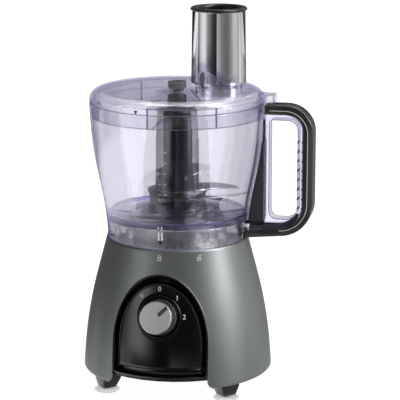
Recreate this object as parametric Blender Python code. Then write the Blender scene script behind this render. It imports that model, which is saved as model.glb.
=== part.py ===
"""Food processor: a bell-shaped motor base, a clear bowl with a loop handle, a two-blade
cutting tool on a stem, and a clear lid with a feed tube and a steel pusher.

Metres, +Z up. The front faces -Y and the bowl's handle points along +X. Everything hangs
on one empty on the spindle's axis, which stands off the origin so that the origin is the
middle of the whole machine's footprint.
"""

import math

import bmesh
import bpy
from mathutils import Matrix, Vector

MM = 0.001
GAP = 0.3 * MM  # clearance between neighbouring pieces

# Driving dimensions
BASE_RADIUS = 99.7 * MM
HANDLE_REACH = 144.2 * MM
SEAT_Z = 158.5 * MM  # deck that the bowl stands on
SEAT_RADIUS = 73.9 * MM
SHELL_WALL = 2.8 * MM
TURRET_RADIUS = 51 * MM
TURRET_Z = 177 * MM
PLATE_Z = (26 * MM, 29 * MM)
LOWER_FRAME_Z = (42 * MM, 45 * MM)
UPPER_FRAME_Z = (108 * MM, 111 * MM)
MOTOR_Y = 50 * MM
BIG_PULLEY_RADIUS = 36 * MM
SMALL_PULLEY_RADIUS = 6 * MM
PULLEY_Z = (32 * MM, 40 * MM)
SHAFT_RADIUS = 4 * MM
ARCH_HALF_WIDTH = 50.5 * MM
ARCH_SPRING_Z = 60 * MM
ARCH_APEX_Z = 135.5 * MM
DIAL_Z = 91.6 * MM
DIAL_TILT = math.radians(13)
DIAL_Y = -86 * MM
POINTER_ANGLE = math.radians(45)
BOWL_WALL = 2.8 * MM
SKIRT_RADIUS = 73.2 * MM
BOWL_RIM = (91 * MM, 299.6 * MM)
FLOOR_Z = (178.5 * MM, 181.5 * MM)
CHIMNEY = (11.5 * MM, 14 * MM, 214 * MM)  # inner radius, outer radius, top
BLADE_THICK = 1.6 * MM
LID_TOP_Z = 313.5 * MM
LID_WALL = 2.5 * MM
TUBE_CENTRE = (37.7 * MM, 30.6 * MM)
TUBE_RADIUS = 27.6 * MM
TUBE_BORE = 25 * MM
TUBE_TOP_Z = 391.5 * MM
GRIP_WIDTH = 21 * MM
FRAME_WIDTH = 16 * MM
FOOT_ANGLE = math.radians(49)
SEGMENTS = 36  # facets round the bell, bowl and lid

SPINDLE_X = -(HANDLE_REACH - BASE_RADIUS) / 2

# Base
POST_ANGLES = [math.radians(a) for a in (72, 166, -166, -72)]
POST_RADIUS = 85 * MM
VENT_ANGLES = [math.radians(180 + 6 * i) for i in (-6, -5, -4, 4, 5, 6)]
CORD_Z = 45 * MM
FOOT_NAMES = ("front_left", "front_right", "rear_left", "rear_right")
CUP_REACH = 84.5 * MM  # from the spindle's axis to a suction cup's

# Drive train
PILLAR_RADIUS = 60 * MM
PILLAR_ANGLES = [math.radians(a) for a in (50, 125, -125, -50)]
MOTOR_RADIUS = 26 * MM
STATOR_Z = (56 * MM, 86 * MM)
BRUSH_Z = (90 * MM, 96 * MM)
BEARING_Z = (138 * MM, 150 * MM)
DOG_RADIUS = 7.5 * MM
DOG_Z = (171 * MM, 232 * MM)
DOG_CAP = 6 * MM  # solid top of the hexagonal dog, above the shaft's end

# Interlock
PIN_X = 65 * MM
SWITCH_Z = (111.3 * MM, 135.3 * MM)
PIN_Z = (140 * MM, 162.2 * MM)
COLLAR_Z = (149 * MM, 150.5 * MM)

# Handle
NOTCH_X = (66 * MM, 77.5 * MM)
OPENING = (98.9 * MM, 127.9 * MM, 181.3 * MM, 284.6 * MM)  # finger gap: near, far, low, high
LOOP_FAR = 133.1 * MM
LOOP_TOP = 290.4 * MM
LOOP_BEND_Z = 197 * MM  # centre of the handle's lower bend
GRIP_TOP = 300.5 * MM
POST_X = 93.2 * MM
CORE_Z = (177.6 * MM, 262 * MM)
SLOT_HALF = 2.3 * MM

# Cutting tool
HUB_Z = (185.5 * MM, 206.9 * MM)
TOOL_BORE = 15.6 * MM


# ---------------------------------------------------------------- outlines


def bezier(start, pull_a, pull_b, end, steps):
    """Points of a cubic Bezier curve, both ends included."""
    points = []
    for i in range(steps + 1):
        t = i / steps
        weights = ((1 - t) ** 3, 3 * t * (1 - t) ** 2, 3 * t * t * (1 - t), t**3)
        pair = zip(weights, (start, pull_a, pull_b, end))
        x, y = 0.0, 0.0
        for weight, point in pair:
            x += weight * point[0]
            y += weight * point[1]
        points.append((x, y))
    return points


def arc(centre, radius, start_deg, end_deg, steps):
    """Points of a circular arc, both ends included."""
    points = []
    for i in range(steps + 1):
        angle = math.radians(start_deg + (end_deg - start_deg) * i / steps)
        x = centre[0] + radius * math.cos(angle)
        points.append((x, centre[1] + radius * math.sin(angle)))
    return points


def in_mm(points):
    return [(x * MM, y * MM) for x, y in points]


def bell(inset, steps=6):
    """Outer line of the bell from its foot to the seat, moved inwards by inset."""
    foot = (BASE_RADIUS, 17.5 * MM)
    seat = (SEAT_RADIUS, SEAT_Z)
    line = bezier(foot, (96 * MM, 86 * MM), (85 * MM, 114 * MM), seat, steps)
    return [(r - inset, z) for r, z in line]


def bell_radius(z):
    line = bell(0, 60)
    near = min(line, key=lambda point: abs(point[1] - z))
    return near[0]


def bowl_line(inset, steps=6):
    """Outer line of the bowl's flared wall from the floor to the rim."""
    foot = (SKIRT_RADIUS, 165 * MM)
    line = bezier(foot, (77.5 * MM, 221 * MM), (88.5 * MM, 227 * MM), BOWL_RIM, steps)
    return [(r - inset, z) for r, z in line]


def arch(shrink, apex, foot, steps=13):
    """Arch in the XZ plane: upright sides below a half ellipse."""
    half = ARCH_HALF_WIDTH - shrink
    rise = apex - ARCH_SPRING_Z
    points = [(half, foot)]
    for i in range(steps + 1):
        angle = math.pi * i / steps
        z = ARCH_SPRING_Z + rise * math.sin(angle)
        points.append((half * math.cos(angle), z))
    return points + [(-half, foot)]


def rounded_box(low, high, radii, steps=5):
    """Rectangle with a radius at each corner: low left, low right, top right, top left."""
    corners = (
        (low[0], low[1], 1, 1, 180),
        (high[0], low[1], -1, 1, 270),
        (high[0], high[1], -1, -1, 0),
        (low[0], high[1], 1, -1, 90),
    )
    points = []
    for (x, y, side_x, side_y, turn), radius in zip(corners, radii):
        centre = (x + side_x * radius, y + side_y * radius)
        points += arc(centre, radius, turn, turn + 90, steps)
    return points


# ---------------------------------------------------------------- solids


def clear_scene():
    for obj in list(bpy.data.objects):
        bpy.data.objects.remove(obj)


def material(name, colour, roughness, metallic=0.0, transmission=0.0):
    made = bpy.data.materials.new(name)
    made.use_nodes = True
    shader = made.node_tree.nodes["Principled BSDF"]
    shader.inputs["Base Color"].default_value = (*colour, 1)
    shader.inputs["Roughness"].default_value = roughness
    shader.inputs["Metallic"].default_value = metallic
    shader.inputs["Transmission Weight"].default_value = transmission
    made.diffuse_color = (*colour, 1)
    return made


def turned(profile, segments, wave=None):
    """A closed (radius, z) profile turned about Z. wave scales a radius by its angle."""
    bm = bmesh.new()
    rings = []
    for radius, z in profile:
        if radius < 1e-9:
            rings.append([bm.verts.new((0, 0, z))] * segments)
            continue
        ring = []
        for i in range(segments):
            angle = 2 * math.pi * i / segments
            reach = radius * (wave(angle) if wave else 1)
            ring.append(bm.verts.new((reach * math.cos(angle), reach * math.sin(angle), z)))
        rings.append(ring)
    for low, high in zip(rings, rings[1:] + rings[:1]):
        for i in range(segments):
            j = (i + 1) % segments
            corners = []
            for corner in (low[i], low[j], high[j], high[i]):
                if corner not in corners:
                    corners.append(corner)
            if len(corners) > 2:
                bm.faces.new(corners)
    return bm


def extruded(outline, low, high, plane="XY"):
    """An outline pushed from low to high: XY along Z, or XZ along Y."""
    bm = bmesh.new()

    def place(point, depth):
        if plane == "XY":
            return (point[0], point[1], depth)
        return (point[0], depth, point[1])

    bottom = [bm.verts.new(place(point, low)) for point in outline]
    top = [bm.verts.new(place(point, high)) for point in outline]
    bm.faces.new(bottom)
    bm.faces.new(top)
    for i in range(len(outline)):
        j = (i + 1) % len(outline)
        bm.faces.new((bottom[i], bottom[j], top[j], top[i]))
    return bm


def lofted(sections):
    """Closed outlines of equal length, joined in order and capped."""
    bm = bmesh.new()
    rings = [[bm.verts.new(point) for point in section] for section in sections]
    for low, high in zip(rings, rings[1:]):
        for i in range(len(low)):
            j = (i + 1) % len(low)
            bm.faces.new((low[i], low[j], high[j], high[i]))
    bm.faces.new(rings[0])
    bm.faces.new(rings[-1])
    return bm


def block(low, high):
    outline = [(low[0], low[1]), (high[0], low[1]), (high[0], high[1]), (low[0], high[1])]
    return extruded(outline, low[2], high[2])


def rod_profile(radius, low, high):
    return [(0, low), (radius, low), (radius, high), (0, high)]


def ring_profile(inner, outer, low, high):
    return [(outer, low), (outer, high), (inner, high), (inner, low)]


def moved(bm, offset=(0, 0, 0), turn=0.0, tilt=0.0):
    """The same solid tilted about X, turned about Z, then moved."""
    place = Matrix.Translation(offset)
    place @= Matrix.Rotation(turn, 4, "Z") @ Matrix.Rotation(tilt, 4, "X")
    bmesh.ops.transform(bm, matrix=place, verts=bm.verts)
    return bm


def joined(pieces):
    """Several solids in one mesh, for a cutter."""
    whole = bmesh.new()
    for bm in pieces:
        bmesh.ops.recalc_face_normals(bm, faces=bm.faces)
        scratch = bpy.data.meshes.new("scratch")
        bm.to_mesh(scratch)
        bm.free()
        whole.from_mesh(scratch)
        bpy.data.meshes.remove(scratch)
    return whole


def add(name, bm, look, parent, location=(0, 0, 0), rotation=(0, 0, 0)):
    bmesh.ops.recalc_face_normals(bm, faces=bm.faces)
    mesh = bpy.data.meshes.new(name)
    bm.to_mesh(mesh)
    bm.free()
    mesh.shade_smooth()
    mesh.set_sharp_from_angle(angle=math.radians(35))
    if look:
        mesh.materials.append(look)
    obj = bpy.data.objects.new(name, mesh)
    bpy.context.scene.collection.objects.link(obj)
    obj.parent = parent
    obj.location = location
    obj.rotation_euler = rotation
    return obj


def tool(name, bm, parent, location=(0, 0, 0), rotation=(0, 0, 0)):
    """A solid that only shapes another one."""
    obj = add("tool_" + name, bm, None, parent, location, rotation)
    obj.hide_render = True
    obj.display_type = "WIRE"
    return obj


def shape(target, cutter, operation="DIFFERENCE"):
    change = target.modifiers.new(cutter.name, "BOOLEAN")
    change.operation = operation
    change.object = cutter
    change.solver = "EXACT"


def empty(name, parent, location=(0, 0, 0), rotation=(0, 0, 0)):
    obj = bpy.data.objects.new(name, None)
    bpy.context.scene.collection.objects.link(obj)
    obj.parent = parent
    obj.location = location
    obj.rotation_euler = rotation
    return obj


def around(radius, angle, z=0.0):
    """A place seen from above: angle 0 is the front, and it grows towards +X."""
    return Vector((radius * math.sin(angle), -radius * math.cos(angle), z))


# ---------------------------------------------------------------- motor base


def make_base_shell(spindle, looks):
    wall = 2.5 * MM
    turret = [
        (TURRET_RADIUS, SEAT_Z),
        (TURRET_RADIUS, TURRET_Z - 3 * MM),
        (TURRET_RADIUS - 3 * MM, TURRET_Z),
        (13 * MM, TURRET_Z),
        (13 * MM, TURRET_Z - wall),
        (TURRET_RADIUS - 4 * MM, TURRET_Z - wall),
        (TURRET_RADIUS - wall, TURRET_Z - 4 * MM),
        (TURRET_RADIUS - wall, SEAT_Z - wall),
    ]
    inside = bell(SHELL_WALL)[::-1]
    inside[0] = (SEAT_RADIUS - SHELL_WALL, SEAT_Z - wall)
    shell = add("base_shell", turned(bell(0) + turret + inside, SEGMENTS), looks["charcoal"], spindle)
    opening = extruded(arch(0, ARCH_APEX_Z, 0), -120 * MM, -50 * MM, "XZ")
    shape(shell, tool("arch_opening", opening, spindle))
    posts = [
        moved(turned(rod_profile(4.5 * MM, PLATE_Z[1] + GAP, 86 * MM), 8), around(POST_RADIUS, a))
        for a in POST_ANGLES
    ]
    shape(shell, tool("posts", joined(posts), spindle), "UNION")
    holes = [
        moved(turned(rod_profile(2 * MM, PLATE_Z[0], 46 * MM), 10), around(POST_RADIUS, a))
        for a in POST_ANGLES
    ]
    slots = [
        moved(block((-1.5 * MM, -14 * MM, 58 * MM), (1.5 * MM, 14 * MM, 88 * MM)), around(91 * MM, a), a)
        for a in VENT_ANGLES
    ]
    inlet = moved(turned(rod_profile(7.3 * MM, -20 * MM, 20 * MM), 16), (0, 95 * MM, CORD_Z), 0, math.pi / 2)
    pin_hole = moved(turned(rod_profile(2.3 * MM, 150 * MM, 165 * MM), 12), (PIN_X, 0, 0))
    shape(shell, tool("shell_holes", joined(holes + slots + [inlet, pin_hole]), spindle))


def bell_slice(outer, inner):
    """Solid between two insets of the bell, closed at foot and top."""
    return turned(bell(inner)[::-1] + bell(outer), SEGMENTS)


def make_front_moulding(spindle, looks):
    """Black arch that fills the opening: a deep channel round a raised control panel."""
    foot = PLATE_Z[1] + GAP
    body = extruded(arch(GAP, ARCH_APEX_Z - GAP, foot), -120 * MM, -50 * MM, "XZ")
    front = add("front_moulding", body, looks["gloss_black"], spindle)
    shape(front, tool("moulding_depth", bell_slice(1 * MM, 12 * MM), spindle), "INTERSECT")
    channel = tool("channel", bell_slice(-3 * MM, 9.5 * MM), spindle)
    walls = extruded(arch(2.3 * MM, ARCH_APEX_Z - 2.3 * MM, 5 * MM), -120 * MM, -50 * MM, "XZ")
    shape(channel, tool("channel_walls", walls, spindle), "INTERSECT")
    face = extruded(arch(7 * MM, ARCH_APEX_Z - 10.5 * MM, 0), -121 * MM, -49 * MM, "XZ")
    shape(channel, tool("panel_edge", face, spindle))
    shape(front, channel)
    relief = tool("panel_relief", bell_slice(-3 * MM, 5 * MM), spindle)
    panel = extruded(arch(5 * MM, ARCH_APEX_Z - 7 * MM, -1 * MM), -122 * MM, -48 * MM, "XZ")
    shape(relief, tool("panel_face", panel, spindle), "INTERSECT")
    shape(front, relief)
    pocket = tool("panel_pocket", bell_slice(7.5 * MM, 15 * MM), spindle)
    back = extruded(arch(10 * MM, ARCH_APEX_Z - 14 * MM, foot + 3 * MM), -120 * MM, -47 * MM, "XZ")
    shape(pocket, tool("pocket_outline", back, spindle), "INTERSECT")
    shape(front, pocket)
    seat = turned(rod_profile(22.8 * MM, -30 * MM, 30 * MM), 28)
    place = (0, DIAL_Y, DIAL_Z)
    shape(front, tool("dial_seat", seat, spindle, place, (math.pi / 2 - DIAL_TILT, 0, 0)))


def make_base_plate(spindle, looks):
    plate_radius = bell_radius(PLATE_Z[0]) - SHELL_WALL - 2 * GAP
    disc = turned(rod_profile(plate_radius, *PLATE_Z), SEGMENTS)
    plate = add("base_plate", disc, looks["black"], spindle)
    low, high = PLATE_Z[0] - 5 * MM, PLATE_Z[1] + 5 * MM
    cuts = [
        moved(turned(rod_profile(2.2 * MM, low, high), 10), around(POST_RADIUS, a))
        for a in POST_ANGLES
    ]
    for i in range(-2, 3):
        x = 7 * MM * i
        cuts.append(block((x - 2 * MM, 60 * MM, low), (x + 2 * MM, 82 * MM, high)))
    for angle in foot_angles():
        cuts.append(moved(turned(rod_profile(2.4 * MM, low, high), 10), around(CUP_REACH, angle)))
    shape(plate, tool("plate_holes", joined(cuts), spindle))


def foot_angles():
    return [-FOOT_ANGLE, FOOT_ANGLE, FOOT_ANGLE - math.pi, math.pi - FOOT_ANGLE]


def foot_section(half, near, far, z):
    return [(-half, -far, z), (half, -far, z), (half, -near, z), (-half, -near, z)]


def make_feet(spindle, looks):
    cup_top = 9 * MM
    cup = [
        (0, 1.4 * MM),
        (8 * MM, 1.2 * MM),
        (10.5 * MM, 0),
        (13 * MM, 0),
        (13.4 * MM, 0.6 * MM),
        (9 * MM, 2.6 * MM),
        (3.4 * MM, 3 * MM),
        (3.4 * MM, cup_top),
        (0, cup_top),
    ]
    for name, angle in zip(FOOT_NAMES, foot_angles()):
        sections = [
            foot_section(8 * MM, 76.5 * MM, 92 * MM, 3.4 * MM),
            foot_section(11 * MM, 73.5 * MM, 93.5 * MM, 12 * MM),
            foot_section(15 * MM, 69.5 * MM, 93 * MM, PLATE_Z[0] - GAP),
        ]
        place = around(CUP_REACH, angle)
        foot = add("foot_" + name, lofted(sections), looks["black"], spindle, rotation=(0, 0, angle))
        peg = turned(rod_profile(2 * MM, PLATE_Z[0] - 2 * MM, PLATE_Z[1] + 2 * MM), 10)
        shape(foot, tool("peg_" + name, peg, spindle, place), "UNION")
        socket = turned(rod_profile(3.8 * MM, 0, cup_top + GAP), 12)
        shape(foot, tool("socket_" + name, socket, spindle, place))
        add("suction_cup_" + name, turned(cup, 14), looks["clear_rubber"], spindle, place)


def make_screws(spindle, looks):
    head = [(0, -2.6 * MM), (3 * MM, -2.6 * MM), (3.8 * MM, -1.6 * MM), (3.8 * MM, 0)]
    shank = [(1.6 * MM, 0), (1.6 * MM, 18 * MM), (0, 19 * MM)]
    for i, angle in enumerate(POST_ANGLES):
        place = around(POST_RADIUS, angle, PLATE_Z[0] - GAP)
        add(f"plate_screw_{i + 1}", turned(head + shank, 8), looks["steel"], spindle, place)
    for i, angle in enumerate(PILLAR_ANGLES):
        place = around(PILLAR_RADIUS, angle, UPPER_FRAME_Z[1] + GAP)
        screw = turned(head + [(1.6 * MM, 0), (1.6 * MM, 12 * MM), (0, 13 * MM)], 8)
        add(f"frame_screw_{i + 1}", screw, looks["steel"], spindle, place, (math.pi, 0, 0))


# ---------------------------------------------------------------- drive train


def posts_at(radius, low, high, segments=8):
    """One cylinder at each pillar's place."""
    profile = rod_profile(radius, low, high)
    return [moved(turned(profile, segments), around(PILLAR_RADIUS, a)) for a in PILLAR_ANGLES]


def make_frames(spindle, looks):
    """Lower plate on legs, and upper plate with the bearing tower; the motor stands between."""
    disc = turned(ring_profile(9.3 * MM, 76 * MM, *LOWER_FRAME_Z), 24)
    lower = add("lower_frame", disc, looks["frame"], spindle)
    legs = posts_at(5 * MM, PLATE_Z[1] + GAP, LOWER_FRAME_Z[0] + 1 * MM)
    shape(lower, tool("legs", joined(legs), spindle), "UNION")
    shaft_hole = turned(rod_profile(11 * MM, 30 * MM, 60 * MM), 20)
    shape(lower, tool("shaft_hole", shaft_hole, spindle, (0, MOTOR_Y, 0)))
    low, high = UPPER_FRAME_Z
    tower = [
        (70 * MM, low),
        (70 * MM, high),
        (18 * MM, high),
        (14 * MM, high + 4 * MM),
        (14 * MM, BEARING_Z[1]),
        (10.3 * MM, BEARING_Z[1]),
        (10.3 * MM, BEARING_Z[0]),
        (6 * MM, BEARING_Z[0]),
        (6 * MM, low),
    ]
    upper = add("upper_frame", turned(tower, 20), looks["frame"], spindle)
    pillars = posts_at(5 * MM, LOWER_FRAME_Z[1] + GAP, low + 1 * MM)
    shape(upper, tool("pillars", joined(pillars), spindle), "UNION")
    holes = posts_at(2 * MM, high - 16 * MM, high + 1 * MM)
    shape(upper, tool("screw_holes", joined(holes), spindle))


def fan_wave(angle):
    """Every other point of the fan's outline steps inwards, which leaves twelve vanes."""
    return 1 if round(angle * 12 / math.pi) % 2 else 0.72


def make_motor(spindle, looks):
    """Upright motor behind the spindle: two end brackets, field, brushes, rotor, fan, pulley."""
    axis = empty("motor_axis", spindle, (0, MOTOR_Y, 0))
    wall = MOTOR_RADIUS - 2 * MM
    bottom = LOWER_FRAME_Z[1] + GAP
    top = UPPER_FRAME_Z[0] - GAP
    lower = [
        (MOTOR_RADIUS, bottom),
        (MOTOR_RADIUS, STATOR_Z[0] - GAP),
        (wall, STATOR_Z[0] - GAP),
        (wall, bottom + 2.5 * MM),
        (2.9 * MM, bottom + 2.5 * MM),
        (2.9 * MM, bottom),
    ]
    upper = [
        (MOTOR_RADIUS, STATOR_Z[1] + GAP),
        (MOTOR_RADIUS, top),
        (2.9 * MM, top),
        (2.9 * MM, top - 3 * MM),
        (wall, top - 3 * MM),
        (wall, STATOR_Z[1] + GAP),
    ]
    field = ring_profile(16.4 * MM, MOTOR_RADIUS, *STATOR_Z)
    rotor = [
        (0, PULLEY_Z[0]),
        (2.5 * MM, PULLEY_Z[0]),
        (2.5 * MM, STATOR_Z[0] + 1 * MM),
        (15.8 * MM, STATOR_Z[0] + 1 * MM),
        (15.8 * MM, STATOR_Z[1] - 1 * MM),
        (8 * MM, STATOR_Z[1] + 2 * MM),
        (8 * MM, BRUSH_Z[1] + 2 * MM),
        (2.5 * MM, BRUSH_Z[1] + 2 * MM),
        (2.5 * MM, top - 1 * MM),
        (0, top - 1 * MM),
    ]
    add("motor_lower_bracket", turned(lower, 18), looks["steel"], axis)
    add("motor_upper_bracket", turned(upper, 18), looks["steel"], axis)
    add("motor_field", turned(field, 18), looks["copper"], axis)
    add("motor_rotor", turned(rotor, 16), looks["steel"], axis)
    for side, name in ((-1, "left"), (1, "right")):
        ends = sorted((side * 8.4 * MM, side * (wall - 1 * MM)))
        brush = block((ends[0], -3 * MM, BRUSH_Z[0]), (ends[1], 3 * MM, BRUSH_Z[1]))
        add("motor_brush_" + name, brush, looks["black"], axis)
    low = bottom + 3.2 * MM
    fan = turned(ring_profile(4 * MM, 22.5 * MM, low, low + 5 * MM), 24, fan_wave)
    add("motor_fan", fan, looks["black"], axis)
    pulley = ring_profile(2.8 * MM, SMALL_PULLEY_RADIUS, *PULLEY_Z)
    add("motor_pulley", turned(pulley, 12), looks["steel"], axis)


def belt_line(clearance):
    """Line round both pulleys, this far outside them."""
    big = BIG_PULLEY_RADIUS + clearance
    small = SMALL_PULLEY_RADIUS + clearance
    lean = math.degrees(math.asin((big - small) / MOTOR_Y))
    points = arc((0, MOTOR_Y), small, lean, 180 - lean, 8)
    return points + arc((0, 0), big, 180 - lean, 360 + lean, 20)


def make_output(spindle, looks):
    """Belt, big pulley, output shaft in two bearings, and the hexagonal drive dog."""
    belt = add(
        "drive_belt",
        extruded(belt_line(1.6 * MM), PULLEY_Z[0] + 1 * MM, PULLEY_Z[1] - 1 * MM),
        looks["rubber"],
        spindle,
    )
    shape(belt, tool("belt_inside", extruded(belt_line(GAP), 20 * MM, 50 * MM), spindle))
    low, high = PULLEY_Z
    rim = BIG_PULLEY_RADIUS
    pulley = [
        (rim, low),
        (rim, high),
        (rim - 3 * MM, high),
        (rim - 3 * MM, low + 5.5 * MM),
        (10 * MM, low + 5.5 * MM),
        (10 * MM, high + 1.2 * MM),
        (SHAFT_RADIUS + GAP, high + 1.2 * MM),
        (SHAFT_RADIUS + GAP, low - 1 * MM),
        (10 * MM, low - 1 * MM),
        (10 * MM, low + 2.5 * MM),
        (rim - 3 * MM, low + 2.5 * MM),
        (rim - 3 * MM, low),
    ]
    add("drive_pulley", turned(pulley, 20), looks["frame"], spindle)
    shaft = rod_profile(SHAFT_RADIUS, PLATE_Z[1] + GAP, DOG_Z[1] - DOG_CAP - GAP)
    add("output_shaft", turned(shaft, 20), looks["steel"], spindle)
    lower = ring_profile(SHAFT_RADIUS + GAP, 9 * MM, LOWER_FRAME_Z[0], LOWER_FRAME_Z[1] + 2 * MM)
    upper = ring_profile(SHAFT_RADIUS + GAP, 10 * MM, BEARING_Z[0] + GAP, BEARING_Z[1] - GAP)
    add("lower_bearing", turned(lower, 16), looks["steel"], spindle)
    add("upper_bearing", turned(upper, 16), looks["steel"], spindle)
    dog = add("drive_dog", turned(rod_profile(DOG_RADIUS, *DOG_Z), 6), looks["steel"], spindle)
    bore = turned(rod_profile(SHAFT_RADIUS + GAP, DOG_Z[0] - 1 * MM, DOG_Z[1] - DOG_CAP), 20)
    shape(dog, tool("dog_bore", bore, spindle))
    seal = ring_profile(DOG_RADIUS + 0.7 * MM, 12.7 * MM, TURRET_Z - 2.3 * MM, TURRET_Z + 0.5 * MM)
    add("turret_seal", turned(seal, 16), looks["rubber"], spindle)


# ---------------------------------------------------------------- controls


def make_dial(spindle, looks):
    """Speed switch behind the panel, collar in the panel, and the knob on the switch's shaft."""
    facing = (math.pi / 2 - DIAL_TILT, 0, 0)
    axis = empty("dial_axis", spindle, (0, DIAL_Y, DIAL_Z), facing)
    collar = ring_profile(3.6 * MM, 22.5 * MM, -6.5 * MM, -1.8 * MM)
    add("dial_collar", turned(collar, 24), looks["gloss_black"], axis)
    half = 12 * MM
    switch = block((-half, -half, -24 * MM), (half, half, -7 * MM))
    add("speed_switch", switch, looks["frame"], axis)
    add("dial_shaft", turned(rod_profile(3 * MM, -6.7 * MM, 13.3 * MM), 16), looks["steel"], axis)
    knob = [
        (18.2, -1.2),
        (18, 1.2),
        (16.8, 15.3),
        (16.1, 16),
        (0, 16),
        (0, 13.6),
        (3.3, 13.6),
        (3.3, 0),
        (6, 0),
        (6, 14),
        (15, 14),
        (16.4, -1.2),
    ]
    add("dial_knob", turned(in_mm(knob), 22), looks["silver"], axis)
    pointer = block((4 * MM, -1.7 * MM, 16 * MM + GAP), (15.6 * MM, 1.7 * MM, 16.9 * MM))
    add("dial_pointer", pointer, looks["black"], axis, rotation=(0, 0, POINTER_ANGLE))


def helix_tube(radius, wire, low, high, turns, around_steps=8, sides=4):
    """Coil spring as one closed tube."""
    sections = []
    steps = turns * around_steps
    pitch = (high - low - 2 * wire) / steps
    for i in range(steps + 1):
        angle = 2 * math.pi * i / around_steps
        centre_z = low + wire + pitch * i
        section = []
        for k in range(sides):
            side = 2 * math.pi * k / sides
            reach = radius + wire * math.cos(side)
            z = centre_z + wire * math.sin(side)
            section.append((reach * math.cos(angle), reach * math.sin(angle), z))
        sections.append(section)
    return lofted(sections)


def make_interlock(spindle, looks):
    """Safety switch, and the sprung pin that the rod in the handle presses."""
    axis = empty("interlock_axis", spindle, (PIN_X, 0, 0))
    switch = block((-8 * MM, -5 * MM, SWITCH_Z[0]), (4 * MM, 5 * MM, SWITCH_Z[1]))
    add("interlock_switch", switch, looks["frame"], axis)
    pin = [
        (0, PIN_Z[0]),
        (1.8 * MM, PIN_Z[0]),
        (1.8 * MM, COLLAR_Z[0]),
        (3.6 * MM, COLLAR_Z[0]),
        (3.6 * MM, COLLAR_Z[1]),
        (1.8 * MM, COLLAR_Z[1]),
        (1.8 * MM, PIN_Z[1]),
        (0, PIN_Z[1]),
    ]
    add("interlock_pin", turned(pin, 10), looks["black"], axis)
    coil = helix_tube(2.9 * MM, 0.4 * MM, SWITCH_Z[1] + GAP, COLLAR_Z[0] - GAP, 4)
    add("pin_spring", coil, looks["steel"], axis)


def make_cord_inlet(spindle, looks):
    """Grommet in the back of the shell; its turning axis lies along Y."""
    profile = [
        (9, 90),
        (9, 93),
        (7, 93),
        (7, 98.8),
        (9, 98.8),
        (8.2, 102.5),
        (4.2, 102.5),
        (4.2, 90),
    ]
    inlet = turned(in_mm(profile), 14)
    add("cord_inlet", inlet, looks["black"], spindle, (0, 0, CORD_Z), (-math.pi / 2, 0, 0))


# ---------------------------------------------------------------- bowl and handle


def make_bowl(spindle, looks):
    inner_rim = (BOWL_RIM[0] - BOWL_WALL, BOWL_RIM[1])
    inside = [p for p in bowl_line(BOWL_WALL)[::-1] if p[1] > FLOOR_Z[1] + 3 * MM]
    profile = [(SKIRT_RADIUS, SEAT_Z + GAP)] + bowl_line(0)
    profile += [inner_rim] + inside[1:]
    profile += [
        (69.5 * MM, FLOOR_Z[1]),
        (CHIMNEY[1], FLOOR_Z[1]),
        (CHIMNEY[1], CHIMNEY[2]),
        (CHIMNEY[0], CHIMNEY[2]),
        (CHIMNEY[0], FLOOR_Z[0]),
        (SKIRT_RADIUS - BOWL_WALL, FLOOR_Z[0]),
        (SKIRT_RADIUS - BOWL_WALL, SEAT_Z + GAP),
    ]
    bowl = add("bowl", turned(profile, SEGMENTS), looks["clear"], spindle)
    notch = block((NOTCH_X[0], -11.4 * MM, 150 * MM), (NOTCH_X[1], 11.4 * MM, 177.5 * MM))
    shape(bowl, tool("skirt_notch", notch, spindle))
    bush = ring_profile(DOG_RADIUS + 0.6 * MM, CHIMNEY[0] - GAP, 205 * MM, 213 * MM)
    add("bowl_bush", turned(bush, 18), looks["rubber"], spindle)


def bowl_reach(z):
    """Radius of the bowl's outer wall at a height."""
    line = bowl_line(0, 80)
    near = min(line, key=lambda point: abs(point[1] - z))
    return near[0]


def make_handle_frame(spindle, looks):
    """Clear loop round the finger gap, with cheeks either side of the interlock rod."""
    outer = [
        (76 * MM, 167.2 * MM),
        (107 * MM, 170.8 * MM),
        *arc((107 * MM, LOOP_BEND_Z), LOOP_FAR - 107 * MM, -84, 0, 6),
        *arc((117.5 * MM, LOOP_TOP - 15.6 * MM), LOOP_FAR - 117.5 * MM, 0, 90, 6),
        (91.4 * MM, LOOP_TOP),
        (91.4 * MM, 262.4 * MM),
        (POST_X, 262.4 * MM),
        (POST_X, 177.2 * MM),
        (76 * MM, 177.2 * MM),
    ]
    half = FRAME_WIDTH / 2
    frame = add("handle_frame", extruded(outer, -half, half, "XZ"), looks["clear"], spindle)
    near, far, low, high = OPENING
    radii = (8 * MM, 12.5 * MM, 10.5 * MM, 3 * MM)
    gap = rounded_box((near, low), (far, high), radii)
    shape(frame, tool("finger_gap", extruded(gap, -30 * MM, 30 * MM, "XZ"), spindle))
    slot = block((60 * MM, -SLOT_HALF, 160 * MM), (POST_X + GAP, SLOT_HALF, 300 * MM))
    shape(frame, tool("rod_slot", slot, spindle))


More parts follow.
